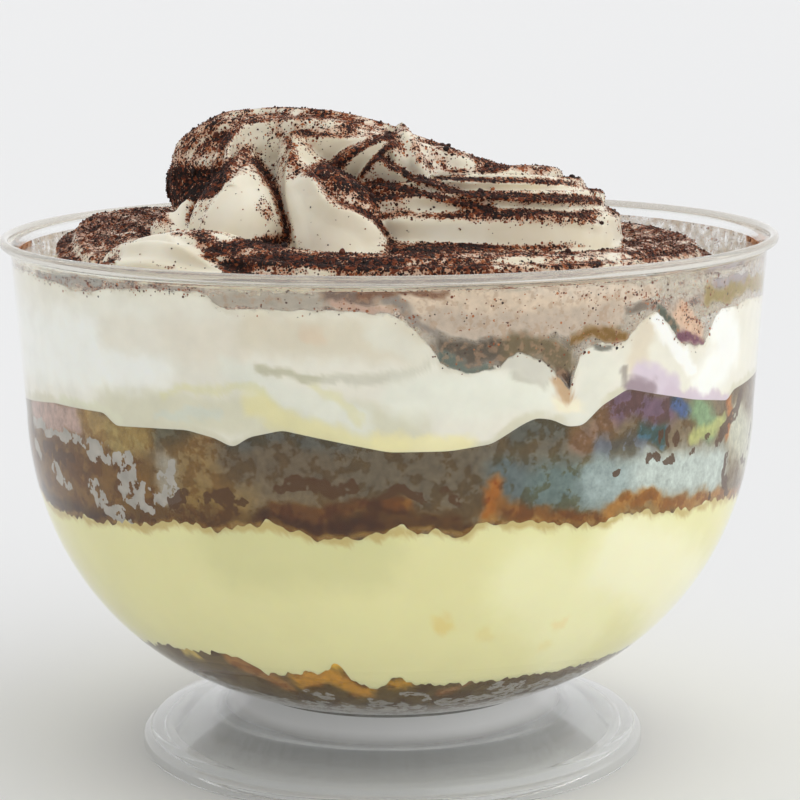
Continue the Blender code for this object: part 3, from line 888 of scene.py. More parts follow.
# %% [markdown]
# A sculpting brush can't be moved by hand in a script, but what it does is simple: every vertex near
# the line moves by a share that falls off towards the brush's edge. The distance is measured as seen
# from the front, and only vertices at about the line's own depth are touched. Sculpting is followed by
# a light smoothing, and a Decimate modifier takes out triangles where the cream is plain.

# %% Sculpting the folds
FRONT_TILT = math.radians(CAMERA_DOWN)
FAR_AWAY = 1e3
BRUSH_DEPTH = 6
FACES_FRONT = 0.25
STEP_FALLOFF = 1.3
STEP_CREASE = 0.2
KEPT_SHARE = 0.56


def falloff(share):
    """A smooth brush edge: 0 at 0 and 1 at 1, level at both ends."""
    return share * share * (3 - 2 * share)


def seen_from_front(spots):
    """Right, up and away from the viewer, for rows of x, y, z."""
    up = spots[:, 1] * math.sin(FRONT_TILT) + spots[:, 2] * math.cos(FRONT_TILT)
    away = spots[:, 1] * math.cos(FRONT_TILT) - spots[:, 2] * math.sin(FRONT_TILT)
    return np.column_stack([spots[:, 0], up, away])


def near_line(places, line, width, depth=FAR_AWAY):
    """Distance and side of each place from a line of knots. The third column only has to be near."""
    nearest = np.full(len(places), FAR_AWAY)
    side = np.ones(len(places))
    for start, end in zip(line, line[1:]):
        low, high = np.minimum(start, end)[:2] - width, np.maximum(start, end)[:2] + width
        close = np.flatnonzero(((places[:, :2] > low) & (places[:, :2] < high)).all(axis=1))
        run = end - start
        offset = places[close] - start
        share = np.clip(offset[:, :2] @ run[:2] / (run[:2] @ run[:2] + 1e-9), 0, 1)
        gap = offset - share[:, None] * run
        far = np.hypot(gap[:, 0], gap[:, 1])
        better = (far < nearest[close]) & (np.abs(gap[:, 2]) < depth)
        nearest[close[better]] = far[better]
        side[close[better]] = np.sign(run[1] * gap[better, 0] - run[0] * gap[better, 1])
    return nearest, side


def brush(spots, line, width, depth=BRUSH_DEPTH):
    """For each vertex, how far it is from a line as seen from the front, and on which side."""
    return near_line(seen_from_front(spots), seen_from_front(np.array(line, dtype=float)), width, depth)


def normals_of(thing):
    """The vertex normals of a mesh object as rows."""
    normals = np.zeros(len(thing.data.vertices) * 3)
    thing.data.vertices.foreach_get("normal", normals)
    return normals.reshape(-1, 3)


def sculpt(thing, strokes):
    """Pushes the vertices that face the viewer along each stroke, one stroke after another."""
    spots = points_of(thing)
    facing = normals_of(thing)[:, 1] < FACES_FRONT
    for strength, width, kind, line in strokes:
        far, side = brush(spots, line, width)
        share = np.clip(1 - far / width, 0, 1)
        if kind == "ridge":
            push = strength * falloff(share)
        else:
            push = strength / 2 * side * share ** STEP_FALLOFF * np.clip(far / STEP_CREASE, 0, 1)
        spots[:, 1] -= push * facing
    move_points(thing, spots)


sculpt(swirl, SCULPT_STROKES)
apply_modifier(swirl, "SMOOTH", factor=0.5, iterations=1)
apply_modifier(swirl, "DECIMATE", ratio=KEPT_SHARE)
swirl.data.validate()
only(swirl)
bpy.ops.object.shade_smooth()
print("piped cream", triangles(swirl), "triangles")

# %% [markdown]
# Cocoa is sieved over the cream from above, so it lies thick on what faces up, thins out as the cream
# turns upright, and leaves bare what hangs over or is sheltered. The amount on each vertex comes
# from its slope, from rays that look for shelter above it, and from strokes of a painting brush:
# strength, width in millimetres, and a line over the front.

# %% Lines of the cocoa
DUST_STROKES = (
    (-1.2, 4.6, ((-19.1, -20, 82.5), (-21.0, -22, 80.4), (-20.3, -23, 77.7))),
    (-1.2, 4.4, ((-11.9, -22, 81.5), (-10.4, -24, 79.1), (-7.5, -25, 76.9), (-3.5, -25, 75.5))),
    (-0.7, 1.8, ((-12.3, -13, 88.2), (-10.7, -14, 86.1), (-6.6, -12, 87.4), (-1.4, -9, 89.4))),
    (-1.0, 1.8, ((-4.4, -13, 84.6), (-1.1, -12, 87.6))),
    (-0.5, 1.5, ((2.6, -9, 88.8), (3.0, -13, 84.7))),
    (-0.35, 3.5, ((-17.5, -8, 88.1), (-16.6, -9, 86.0))),
    (-0.4, 2.6, ((5.5, -7, 86.7), (11.3, -7, 84.1))),
    (-0.8, 0.9, ((11.1, -15, 83.7), (23.2, -10, 83.2))),
    (-0.8, 0.9, ((11.0, -16, 81.9), (27.6, -9, 80.9))),
    (-0.7, 2.6, ((29.8, -10, 77.9), (29.6, -12, 72.8))),
    (-1.1, 2.6, ((1.8, -21, 76.6), (10.9, -21, 76.0), (23.3, -17, 75.0), (31.0, -9, 73.9))),
    (0.5, 2.2, ((10.5, -19.5, 79.0), (14.5, -19.5, 78.2), (22.5, -16, 77.3), (29, -10, 76.1))),
    (1.2, 0.8, ((-4.3, -22, 79.8), (-2.0, -22, 78.6), (0.3, -22, 76.0), (0.6, -22, 73.4))),
    (1.4, 1.3, ((0.5, -23, 73.5), (4, -24, 74.5), (7.5, -24, 74.9), (11, -23, 74.2))),
    (0.42, 4.2, ((-31.5, -3, 82.5), (-29, -3, 86.0), (-25, -4, 88.4))),
    (-1.0, 3.0, ((-33.5, -36, 74.5), (-30.0, -36, 76.2), (-23.2, -42, 73.8))),
    (1.1, 0.8, ((-9.6, -17, 83.9), (-7.2, -15, 85.1), (-2.2, -12, 87.7), (0.5, -9, 88.9))),
    (1.1, 0.8, ((-3.6, -14, 83.7), (-1.4, -13, 86.0), (-0.2, -12, 87.2))),
    (1.2, 0.7, (
        (7.2, -30, 75.7), (11.8, -28, 75.6), (18.4, -26, 75.3), (24.5, -22, 74.9), (31.1, -16, 74.5))),
    (0.5, 1.2, ((-6.7, -44, 73.9), (1.5, -44, 73.8), (10.3, -43, 73.8), (18, -41, 73.8), (27.3, -35, 73.7))),
    (-0.5, 1.6, ((14, -40, 74.6), (22, -36, 74.4), (30, -30, 74.2))),
    (-1.1, 3.2, ((-32.5, -34, 76.4), (-29.8, -34, 77.2), (-27.2, -36, 76.4))),
    (-1.2, 1.7, ((-28.2, -16, 80.5), (-28.6, -17, 78.5), (-27.8, -18, 76.0))),
    (-0.1, 6.0, ((-26, -4, 88.6), (-19.4, -4, 90.6), (-12.3, -5, 90.8), (-3, -6, 90.4))),
    (0.25, 5.0, ((-22.5, -9, 87.6), (-16.4, -8, 88.4), (-9.4, -10, 88), (-2.5, -11, 87.6))),
    # The deep pocket left of the crown gets the thickest, darkest cocoa: real cocoa and painted shade of the
    # recess.
    (2.4, 3.8, ((-30.5, -4, 81.1), (-27.1, -7, 82.0), (-24.1, -10, 82.3))),
    (1.2, 1.1, ((-18.0, -14, 85.7), (-15.3, -17, 81.9), (-13.4, -20, 76.7))),
    (1.2, 1.6, ((-22.5, -39, 76.2), (-18.6, -33, 76.8), (-14.0, -26, 76.4))),
    (1.3, 1.3, ((-20.6, -41, 74.6), (-12.2, -42, 75.5), (-6.1, -43, 74.9), (0.9, -43, 75.0))),
    (0.1, 4.0, ((-45.7, -7, 73.5), (-42.4, -4, 75.8), (-39.0, 1, 76.9), (-31.2, -3, 78.9))),
    (0.1, 6.5, ((8, -14, 82), (20, -12, 80.6), (29, -8, 78.6))),
    (0.25, 4.0, ((-2, -10, 88), (6, -8, 86.6), (14, -7, 83.5))),
    (0.5, 4.5, ((-7.2, -18, 84.9), (-0.5, -18, 81.1))),
    (1.0, 1.0, ((-4.9, -21, 82.8), (-0.9, -16, 82.6), (3.2, -18, 81.9), (7.0, -19, 80.7), (13.7, -20, 79.4))),
    (1.0, 1.1, ((-0.6, -13, 85.5), (3.4, -16, 83.4), (10.6, -18, 81.1), (19.2, -15, 80.1), (29.5, -6, 78.9))),
    (0.9, 0.6, ((6.5, -14, 83.2), (11.9, -14, 82.7), (23.4, -10, 81.9))),
    (1.0, 0.5, ((13.8, -20, 79.0), (21.9, -17, 78.7), (25.7, -15, 78.0))),
)
print(len(DUST_STROKES), "strokes of (strength, width, line)")

# %% [markdown]
# The amount is worked out once for each vertex and stored as an attribute, which the material and the
# scattered grains both read, so that painted specks and modelled grains lie in the same places.

# %% How much cocoa lies where
SIEVE_RAYS = ((0, 0, 1), (0.22, 0.1, 1), (-0.18, 0.16, 1), (0.02, -0.24, 1))
RAY_LIFT = 0.15
DUST_SLOPES = (-0.35, 0.85)
SLOPE_FALLOFF = 1.7
SHELTERED = 0.25
PAINT_DEPTH = 9
PATCH_SIZE = 3.2
PATCH_MIDDLE, PATCH_SPREAD = 0.85, 0.55
PATCH_LIMITS = (0.3, 1.4)
MOST_DUST = 1.3


def open_to_sky(thing):
    """The share of a few upward rays from each vertex that meet nothing of the swirl."""
    only(thing)
    tree = BVHTree.FromObject(swirl, bpy.context.evaluated_depsgraph_get())
    starts = (points_of(thing) + RAY_LIFT * normals_of(thing)) * MM
    free = np.zeros(len(starts))
    for ray in SIEVE_RAYS:
        way = Vector(ray).normalized()
        free += [tree.ray_cast(Vector(start), way)[0] is None for start in starts]
    return free / len(SIEVE_RAYS)


def dust_on(thing, strokes):
    """The cocoa on each vertex, from 0 for bare cream to 1 for a closed cover."""
    low, high = DUST_SLOPES
    slope = np.clip((normals_of(thing)[:, 2] - low) / (high - low), 0, 1)
    spots = points_of(thing)
    patches = np.array([noise.fractal(Vector(spot) / PATCH_SIZE, 1.0, 2.0, 3) for spot in spots])
    patches = np.clip(PATCH_MIDDLE + PATCH_SPREAD * patches, *PATCH_LIMITS)
    amount = slope ** SLOPE_FALLOFF * (SHELTERED + (1 - SHELTERED) * open_to_sky(thing)) * patches
    for strength, width, line in strokes:
        far, _ = brush(spots, line, width, PAINT_DEPTH)
        amount += strength * falloff(np.clip(1 - far / width, 0, 1))
    return np.clip(amount, 0, MOST_DUST)


swirl_dust = dust_on(swirl, DUST_STROKES)
paint(swirl, "dust", swirl_dust)
print("mean cocoa cover", round(float(swirl_dust.mean()), 2))

# %% [markdown]
# Fine cocoa is painted, and coarse cocoa is modelled. The painted part is a shared group of nodes:
# two sets of random cells, each cell a speck where its own random number is under the amount of
# dust. The same number picks the speck's brown, and thin dust leaves a warm stain on the cream.

# %% Helpers for colour ramps and groups
def ramp(tree, value, stops):
    """A colour ramp with (place, colour) stops."""
    made = node(tree, "ValToRGB", {"Fac": value})
    band = made.color_ramp
    while len(band.elements) > 1:
        band.elements.remove(band.elements[0])
    band.elements[0].position, band.elements[0].color = stops[0]
    for place, colour in stops[1:]:
        band.elements.new(place).color = colour
    return made.outputs["Color"]


def new_group(name, takes, gives):
    """A node group with sockets given as (name, kind, default value) and (name, kind)."""
    tree = bpy.data.node_groups.new(name, "ShaderNodeTree")
    for label, kind, value in takes:
        socket = tree.interface.new_socket(label, in_out="INPUT", socket_type="NodeSocket" + kind)
        socket.default_value = value
    for label, kind in gives:
        tree.interface.new_socket(label, in_out="OUTPUT", socket_type="NodeSocket" + kind)
    return tree, tree.nodes.new("NodeGroupInput"), tree.nodes.new("NodeGroupOutput")


def use(tree, group, **inputs):
    """Puts a node group into a material."""
    made = tree.nodes.new("ShaderNodeGroup")
    made.node_tree = group
    for key, value in inputs.items():
        put(tree, value, made.inputs[key])
    return made


# %% [markdown]
# Inside the group, noise first makes the amount patchy. Each size of cell then decides whether it holds
# a speck, how far the speck reaches and which brown it is, and its height is for a Bump node.

# %% A group of nodes for fine cocoa
SPECKS = ((0.3, 1.15), (0.52, 0.6))
SPECK_REACH, SPECK_GROWTH, SPECK_RISE = 0.3, 0.35, 0.8
COCOA_BROWNS = (
    (0.0, srgb(28, 18, 15)), (0.28, srgb(62, 28, 17)), (0.58, srgb(124, 60, 32)), (1.0, srgb(186, 118, 72)))
PALER, DARKER = 0.12, 0.35
COCOA_STAIN = srgb(188, 126, 86)
STAIN_FROM, STAIN_FULL, STAIN_STRENGTH = 0.2, 0.85, 0.8
PATCHY_CLOUDS, PATCHY_GAIN, PATCHY_SHARE = 1.5, 2.4, 0.7
FAINT = 0.12

dusting, given, result = new_group(
    "dusting", (("Amount", "Float", 0.5), ("Cream", "Color", (0.8, 0.8, 0.8, 1))),
    (("Color", "Color"), ("Cover", "Float"), ("Height", "Float")))
place = node(dusting, "TexCoord", {}).outputs["Object"]
clouds = grain(dusting, PATCHY_CLOUDS, 4, place, 0.6)
patchy = number(dusting, "MULTIPLY_ADD", clouds, PATCHY_GAIN, -PATCHY_GAIN / 2)
patchy = number(dusting, "MULTIPLY", patchy, PATCHY_SHARE)
amount = number(dusting, "ADD", given.outputs["Amount"], patchy)
amount = number(dusting, "MULTIPLY", amount, fade(dusting, given.outputs["Amount"], 0.0, FAINT))
stain = number(dusting, "MULTIPLY", fade(dusting, amount, STAIN_FROM, STAIN_FULL), STAIN_STRENGTH)
color = blend(dusting, stain, given.outputs["Cream"], COCOA_STAIN)
cover = height = 0.0
for size, share in SPECKS:
    cells = node(dusting, "TexVoronoi", {"Vector": place, "Scale": 1 / (size * MM)})
    chance = node(dusting, "SeparateColor", {"Color": cells.outputs["Color"]})
    here = number(dusting, "LESS_THAN", chance.outputs["Red"], number(dusting, "MULTIPLY", amount, share))
    reach = number(dusting, "MULTIPLY_ADD", amount, SPECK_GROWTH, SPECK_REACH)
    speck = number(dusting, "MULTIPLY", here, number(dusting, "LESS_THAN", cells.outputs["Distance"], reach))
    tone = number(dusting, "SUBTRACT", number(dusting, "ADD", chance.outputs["Green"], PALER), number(
        dusting, "MULTIPLY", amount, DARKER))
    color = blend(dusting, speck, color, ramp(dusting, tone, COCOA_BROWNS))
    cover = number(dusting, "MAXIMUM", cover, speck)
    rise = number(dusting, "SUBTRACT", SPECK_RISE, cells.outputs["Distance"])
    height = number(dusting, "MAXIMUM", height, number(dusting, "MULTIPLY", speck, rise))
for value, label in ((color, "Color"), (cover, "Cover"), (height, "Height")):
    put(dusting, value, result.inputs[label])
print("dusting group of", len(dusting.nodes), "nodes")

# %% [markdown]
# Behind the wall each layer shows a flat face, wet in some places and clear of the plastic in
# others. These faces are painted. A stroke is a colour, a strength, a width in millimetres and a
# line of (degrees from the front, height). Cream is pale, and yellower where custard shows through.
# It is painted greyer along its top and bottom edges, where it stands off the plastic, in its creases
# and folds, and in a band high across the left and middle: that is painted shade. The film on the wall
# is cream with cocoa in it, and its back has one tone, painted at BEHIND, a place past all the degrees
# of the front.

# %% Strokes on the cream and the film
BEHIND = 400
CREAM_TONES = (
    # Painted shade along the bottom and top edges, where the cream curves away from the plastic.
    ((198, 192, 166), 0.7, 1.3, CREAM_BOTTOM),
    ((202, 194, 174), 0.5, 0.9, CREAM_TOP),
    ((234, 233, 223), 1, 8, ((-84, 61), (-62, 62), (-45, 63), (-38, 63.5))),
    ((206, 202, 178), 0.9, 3.6, ((-44, 55.5), (-33, 56.5), (-20, 56.5), (-8, 57), (3, 55))),
    # A darker band high across the left and middle: painted shade.
    ((215, 206, 188), 0.6, 4.2, ((-42.8, 65.9), (-30.6, 65.8), (-22.4, 65.6))),
    ((212, 203, 182), 1, 3.8, ((-18.4, 67.4), (-7.5, 66.7), (3.0, 66.1))),
    ((214, 190, 162), 0.5, 1.5, ((-10.7, 67.3), (-9.7, 66.7))),
    ((218, 217, 203), 0.9, 2.6, ((-22.6, 62.3), (-15.0, 59.4), (-4.2, 56.3))),
    # Painted shade in two creases.
    ((182, 178, 152), 0.8, 0.8, ((-18.3, 62.9), (-14.2, 62.2), (-11.3, 61.5), (-8.7, 61.7))),
    ((196, 192, 174), 0.8, 0.9, ((-8.7, 61.7), (-4.1, 61.3), (1.6, 61.9), (5.5, 63.4))),
    ((210, 205, 162), 0.6, 0.9, ((-33.6, 58.0), (-30.7, 59.5), (-18.4, 60.1), (-16.6, 58.0))),
    ((214, 208, 166), 0.6, 0.9, ((-9.8, 60.5), (-6.3, 58.6), (-3.8, 56.3))),
    ((220, 211, 158), 0.75, 2.4, ((-18.9, 57.9), (-14.8, 56.1), (-10.4, 54.6), (-4.2, 53.1), (1.5, 52.4))),
    ((200, 204, 192), 0.6, 0.9, ((-35.3, 55.2), (-31.5, 56.1), (-24.6, 56.5))),
    ((212, 210, 185), 0.8, 1.0, ((-57.6, 55.1), (-45.4, 55.5), (-42.7, 53.8))),
    ((216, 212, 196), 0.9, 2.6, ((-1.1, 67.4), (4.1, 64.7))),
    ((222, 221, 206), 0.9, 4.2, ((2.3, 59.2), (13.2, 59.3), (20.8, 59.5))),
    ((228, 217, 165), 0.8, 2.0, ((-1.3, 53.7), (5.9, 52.9), (10.7, 53.1))),
    # Painted shade in a fold of the first lobe.
    ((192, 188, 172), 0.8, 1.0, ((17.2, 61.5), (19.5, 60.8), (22.5, 60.1))),
    ((204, 200, 186), 1, 2.2, ((17.5, 63.6), (22.2, 61.4))),
    ((218, 215, 200), 1, 3.0, ((28.7, 63.0), (31.9, 60.7), (27.5, 55.1))),
    ((214, 203, 182), 1, 2.8, ((39.4, 67.0), (38.2, 64.2), (37.4, 61.6))),
    ((204, 190, 198), 1, 2.4, ((38.6, 60.4), (41.0, 59.2), (44.4, 57.8))),
    ((140, 130, 122), 0.7, 0.6, ((35.0, 61.4), (35.4, 59.2))),
    ((236, 234, 227), 1, 1.4, ((40.5, 67.6), (44.8, 63.5), (49.5, 59.6))),
    ((236, 235, 227), 1, 4.5, ((55.9, 65.8), (61.3, 61.4), (53.4, 57.5))),
    ((156, 138, 144), 1, 1.6, ((36.5, 58.9), (40.5, 58.2))),
    ((200, 184, 194), 0.9, 1.2, ((43.8, 57.2), (50.1, 55.8), (61.0, 54.2))),
    ((232, 222, 196), 1, 1.6, ((24.8, 57.6), (27.0, 56.8))),
    ((190, 160, 126), 1, 1.1, ((24.2, 61.0), (25.1, 59.4), (25.8, 58.3))),
    ((118, 116, 106), 0.9, 0.6, ((29.6, 64.6), (32.4, 64.4))),
)
FILM_TONES = (
    ((226, 219, 210), 0.4, 50, ((BEHIND - 1, 70), (BEHIND + 1, 70))),
    ((186, 142, 112), 0.7, 2.2, ((-96, 73), (-84, 73))),
    ((186, 142, 112), 0.7, 2.2, ((84, 72.4), (96, 72.4))),
    ((150, 148, 142), 0.75, 1.6, ((-61.0, 71.6), (-51.0, 72.0), (-44.7, 72.5))),
    ((165, 155, 145), 0.5, 0.8, ((-43.7, 71.5), (-34.6, 72.2), (-26.0, 72.3))),
    ((150, 148, 140), 0.8, 0.6, ((-31.1, 71.6), (-31.1, 70.7))),
    ((168, 158, 143), 0.95, 1.5, ((-23.6, 71.3), (-14.6, 71.3), (-7.8, 71.4))),
    ((118, 98, 86), 0.95, 1.5, ((-7.8, 72.0), (-3.9, 72.1), (-0.1, 72.4))),
    ((186, 156, 138), 0.95, 1.0, ((-7.1, 70.9), (-3.2, 70.7), (1.3, 70.5))),
    ((206, 186, 163), 1, 3.6, ((1.0, 72.8), (9.4, 71.4), (20.3, 70.3), (32.6, 70.6))),
    ((184, 167, 149), 1, 2.8, ((6.9, 69.2), (14.8, 67.7), (24.3, 68.2), (32.8, 67.9))),
    ((140, 130, 120), 0.95, 0.9, ((-1.1, 72.5), (1.0, 71.2), (4.1, 69.2), (6.2, 67.3))),
    ((92, 82, 70), 1, 2.2, ((7.3, 65.4), (11.3, 64.7), (15.6, 64.7))),
    ((100, 108, 98), 1, 0.9, ((7.0, 64.3), (10.6, 62.9), (15.3, 62.4))),
    ((112, 98, 74), 1, 2.2, ((16.7, 65.6), (22.1, 64.8), (25.4, 63.0))),
    ((96, 74, 58), 1, 0.9, ((24.4, 62.2), (26.0, 60.4))),
    ((36, 28, 22), 1, 0.8, ((25.9, 60.6), (26.1, 60.0))),
    ((124, 94, 50), 1, 1.2, ((26.1, 65.6), (29.4, 66.7), (32.9, 66.1), (34.8, 65.4))),
    ((206, 189, 170), 0.95, 1.8, ((20.2, 72.9), (30.3, 71.7), (39.7, 71.0))),
    ((204, 172, 146), 1, 2.2, ((45.4, 67.5), (49.9, 64.4))),
    ((84, 88, 76), 1, 0.8, ((40.9, 68.5), (43.4, 67.2), (45.4, 65.2))),
    ((112, 70, 84), 1, 0.9, ((46.0, 64.6), (48.4, 63.6), (51.6, 63.2))),
    ((146, 128, 80), 1, 1.8, ((52.0, 69.2), (56.0, 69.0), (65.1, 69.4), (77.3, 68.6))),
    ((116, 104, 92), 0.9, 1.1, ((35.8, 68.8), (38.4, 69.2))),
    ((150, 140, 145), 0.8, 1.0, ((54.2, 70.7), (64.5, 70.4))),
    ((122, 88, 68), 1, 0.8, ((-4, 72.6), (8, 72.6))),
    ((178, 168, 152), 0.6, 0.8, ((1.0, 74.2), (16.5, 73.6), (32.4, 73.5), (51.0, 73.2))),
)
FILM_DUST = (
    (0.5, 2.2, ((-96, 73), (-84, 73))),
    (0.5, 2.2, ((84, 72.4), (96, 72.4))),
    (0.26, 2.2, ((24.2, 72.3), (32.3, 71.2), (39.7, 70.2))),
    (0.32, 1.8, ((46.4, 67.5), (49.9, 64.9))),
    (0.3, 1.0, ((-58.9, 71.6), (-43.7, 71.9), (-34.5, 72.3), (-26.0, 72.3))),
    (0.2, 0.8, ((-7.4, 70.9), (1.3, 70.5))),
    (0.12, 1.5, ((1.0, 72.8), (9.4, 70.4), (16.7, 68.6))),
    (0.5, 1.0, ((33.0, 64.9), (35.9, 63.0))),
)
print(len(CREAM_TONES), "strokes on the cream,", len(FILM_TONES), "and", len(FILM_DUST), "on the film")

# %% [markdown]
# Soaked sponge is brown where syrup fills it, bluish or violet where wet crumb lies behind a thin gap,
# and painted pale where the crumb stands off the wall, a painted reflection of the dry plastic there. The
# gaps and the dark marks are amounts, not colours: the material breaks them into ragged islands.

# %% Strokes on the middle sponge
MIDDLE_TONES = (
    ((112, 82, 44), 1, 9.0, ((-79.8, 42.9), (-50.7, 45.7), (-41.2, 45.2))),
    ((168, 142, 130), 1, 3.6, ((-70.1, 51.9), (-59.8, 52.6), (-53.1, 52.8))),
    ((150, 124, 78), 1, 3.4, ((-50.0, 53.3), (-45.4, 51.9))),
    ((150, 129, 80), 1, 3.6, ((-44.0, 51.8), (-38.6, 52.2))),
    ((92, 86, 68), 1, 3.0, ((-34.3, 53.5), (-29.0, 53.5))),
    ((136, 104, 68), 0.8, 3.0, ((-27.4, 52.1), (-25.9, 49.6))),
    ((134, 110, 70), 0.9, 5.4, ((-29.2, 49.7), (-22.8, 47.9), (-27.1, 44.9))),
    ((150, 142, 126), 0.9, 2.6, ((-33.8, 48.7), (-34.2, 45.0))),
    ((101, 88, 70), 1, 6.0, ((-21.0, 51.2), (-11.7, 50.7), (-2.7, 49.2))),
    ((84, 84, 78), 0.8, 2.2, ((-21.7, 53.1), (-14.8, 54.6), (-6.2, 53.0), (0.8, 51.8))),
    ((126, 100, 56), 0.8, 3.4, ((-30.0, 44.6), (-23.1, 43.6))),
    ((100, 89, 72), 1, 7.0, ((-1.3, 49.9), (7.5, 49.1), (13.0, 49.5))),
    ((104, 95, 80), 0.9, 3.4, ((14.8, 51.7), (18.9, 50.2), (25.0, 51.0))),
    ((88, 88, 80), 0.9, 3.0, ((18.8, 54.1), (21.9, 55.1), (23.8, 54.4))),
    ((132, 106, 88), 0.9, 3.0, ((28.5, 52.6), (31.0, 53.4), (32.4, 55.3))),
    ((106, 84, 96), 1, 3.2, ((34.5, 56.4), (38.2, 56.5), (44.2, 54.4))),
    ((96, 98, 104), 0.95, 2.4, ((32.0, 51.2), (41.0, 51.2))),
    ((92, 100, 98), 1, 4.4, ((16.7, 48.4), (20.6, 46.1))),
    ((98, 111, 106), 1, 5.2, ((23.5, 47.2), (31.3, 46.4))),
    ((146, 158, 154), 1, 5.4, ((32.0, 46.6), (37.5, 46.2))),
    ((176, 184, 176), 1, 5.0, ((41.0, 46.6), (47.1, 46.2), (59.9, 44.6))),
    ((70, 98, 110), 1, 1.9, ((40.0, 52.7), (43.3, 51.3))),
    ((72, 88, 124), 1, 1.8, ((46.0, 55.7), (48.3, 54.6))),
    ((122, 146, 108), 1, 3.0, ((51.6, 54.2), (55.9, 50.9))),
    ((166, 168, 104), 0.9, 1.6, ((51.5, 50.3), (60.3, 51.3))),
    ((80, 58, 32), 1, 2.0, ((-71.8, 39.9), (-60.2, 39.4), (-50.7, 40.0), (-43.1, 40.0))),
    ((98, 72, 42), 1, 2.2, ((-40.6, 42.5), (-38.8, 41.7), (-30.9, 42.6), (-26.7, 41.6), (-23.1, 43.6))),
    ((76, 52, 26), 1, 2.6, ((-19.2, 42.8), (-13.8, 43.1), (-10.2, 41.9), (-4.7, 42.3), (1.5, 43.3))),
    ((96, 64, 32), 1, 1.6, ((-16.7, 44.6), (-10.1, 43.9), (-4.9, 45.3), (0.8, 45.3))),
    ((86, 60, 30), 1, 2.2, ((-1.4, 44.3), (2.9, 43.3), (8.0, 43.2), (11.0, 41.7))),
    ((120, 80, 40), 0.9, 1.4, ((0.1, 45.7), (2.2, 45.3))),
    ((150, 92, 40), 1, 1.9, ((14.9, 47.2), (15.3, 44.8), (14.2, 43.6))),
    ((124, 84, 44), 1, 1.8, ((16.8, 44.7), (20.8, 43.1), (24.9, 42.5), (32.9, 41.7))),
    ((152, 108, 56), 1, 1.6, (
        (33.7, 42.2), (36.9, 43.7), (41.5, 43.5), (49.2, 41.6), (57.8, 41.1), (74.7, 39.1))),
)
MIDDLE_EDGES = (
    ((178, 176, 156), 1, 5.5, ((66, 49.5), (74, 46), (86, 44))),
    ((168, 110, 54), 1, 1.3, ((61.5, 54.6), (63.5, 51.5), (62.0, 49.4))),
    ((150, 118, 68), 0.7, 0.7, MIDDLE_BOTTOM),
)
# Where the crumb stands off the wall: painted pale, as painted reflection.
MIDDLE_GAP_REFLECTIONS = (
    (1, 1.2, ((-71.8, 50.2), (-61.3, 50.2), (-52.1, 50.3), (-48.0, 50.4))),
    (1, 2.4, ((-49.4, 49.6), (-46.9, 48.9))),
    (1, 1.4, ((-71.1, 47.2), (-69.1, 46.1))),
    (1, 1.8, ((-62.2, 45.2), (-58.2, 43.2))),
    (1, 2.4, ((-49.8, 44.1), (-48.4, 42.2), (-44.0, 40.9))),
    (1, 3.4, ((-42.3, 48.7), (-41.2, 44.8), (-37.7, 44.2))),
    (0.9, 2.6, ((-36.2, 44.1), (-33.1, 45.7), (-33.8, 48.3))),
    (0.6, 2.5, ((-81.1, 47.4), (-79.8, 42.9))),
)
BROWN_MARKS = (
    (0.8, 1.6, ((-66, 47.5), (-60, 47), (-55, 47.5))),
    (0.75, 1.8, ((-27.5, 44.6), (-24.5, 46.2), (-22.0, 44.8))),
    (0.8, 1.5, ((-15.5, 47.6), (-12.4, 48.4), (-8.6, 47.2), (-5.5, 47.6))),
    (0.7, 1.4, ((-33.2, 43.6), (-31.0, 45.4))),
    (0.65, 1.2, ((-2.0, 46.6), (1.0, 47.4), (4.5, 46.2))),
    (0.6, 1.2, ((7.5, 47.0), (10.0, 45.4))),
    (1, 0.9, ((34.4, 47.7), (34.8, 47.8))),
    (1, 1.3, ((40.8, 48.3), (42.2, 48.8))),
    (1, 0.9, ((45.0, 48.1), (45.8, 48.7))),
    (1, 0.7, ((50.6, 48.3), (50.9, 48.4))),
    (1, 0.7, ((42.8, 51.1), (42.9, 51.7))),
    (1, 0.7, ((44.9, 50.8), (44.8, 51.7))),
    (1, 0.8, ((47.1, 50.4), (47.1, 51.4))),
    (1, 0.7, ((55.1, 49.6), (55.4, 50.1))),
    (1, 1.3, ((67.0, 54.1), (65.8, 51.5), (60.4, 50.2), (58.8, 48.4))),
    (1, 1.4, ((62.6, 45.8), (62.4, 43.3), (65.4, 40.4))),
    (1, 0.9, ((76.9, 47.7), (75.6, 45.4))),
    (1, 0.9, ((71.4, 44.7), (74.6, 43.4))),
    (1, 0.8, ((58.3, 41.9), (58.7, 41.1))),
)
print(len(MIDDLE_TONES + MIDDLE_EDGES), "tones,", len(MIDDLE_GAP_REFLECTIONS), "gaps and", len(BROWN_MARKS), "marks")

# %% [markdown]
# Custard is nearly even, with a few darker spots and a brown edge where sponge lies on it. It is painted
# paler to the right, which is painted light from the lamp on that side, and a little darker high on the
# left of the front. The wet sponge at the bottom is dark, with orange crumbs at its top and pale islands
# below, which are painted reflection.

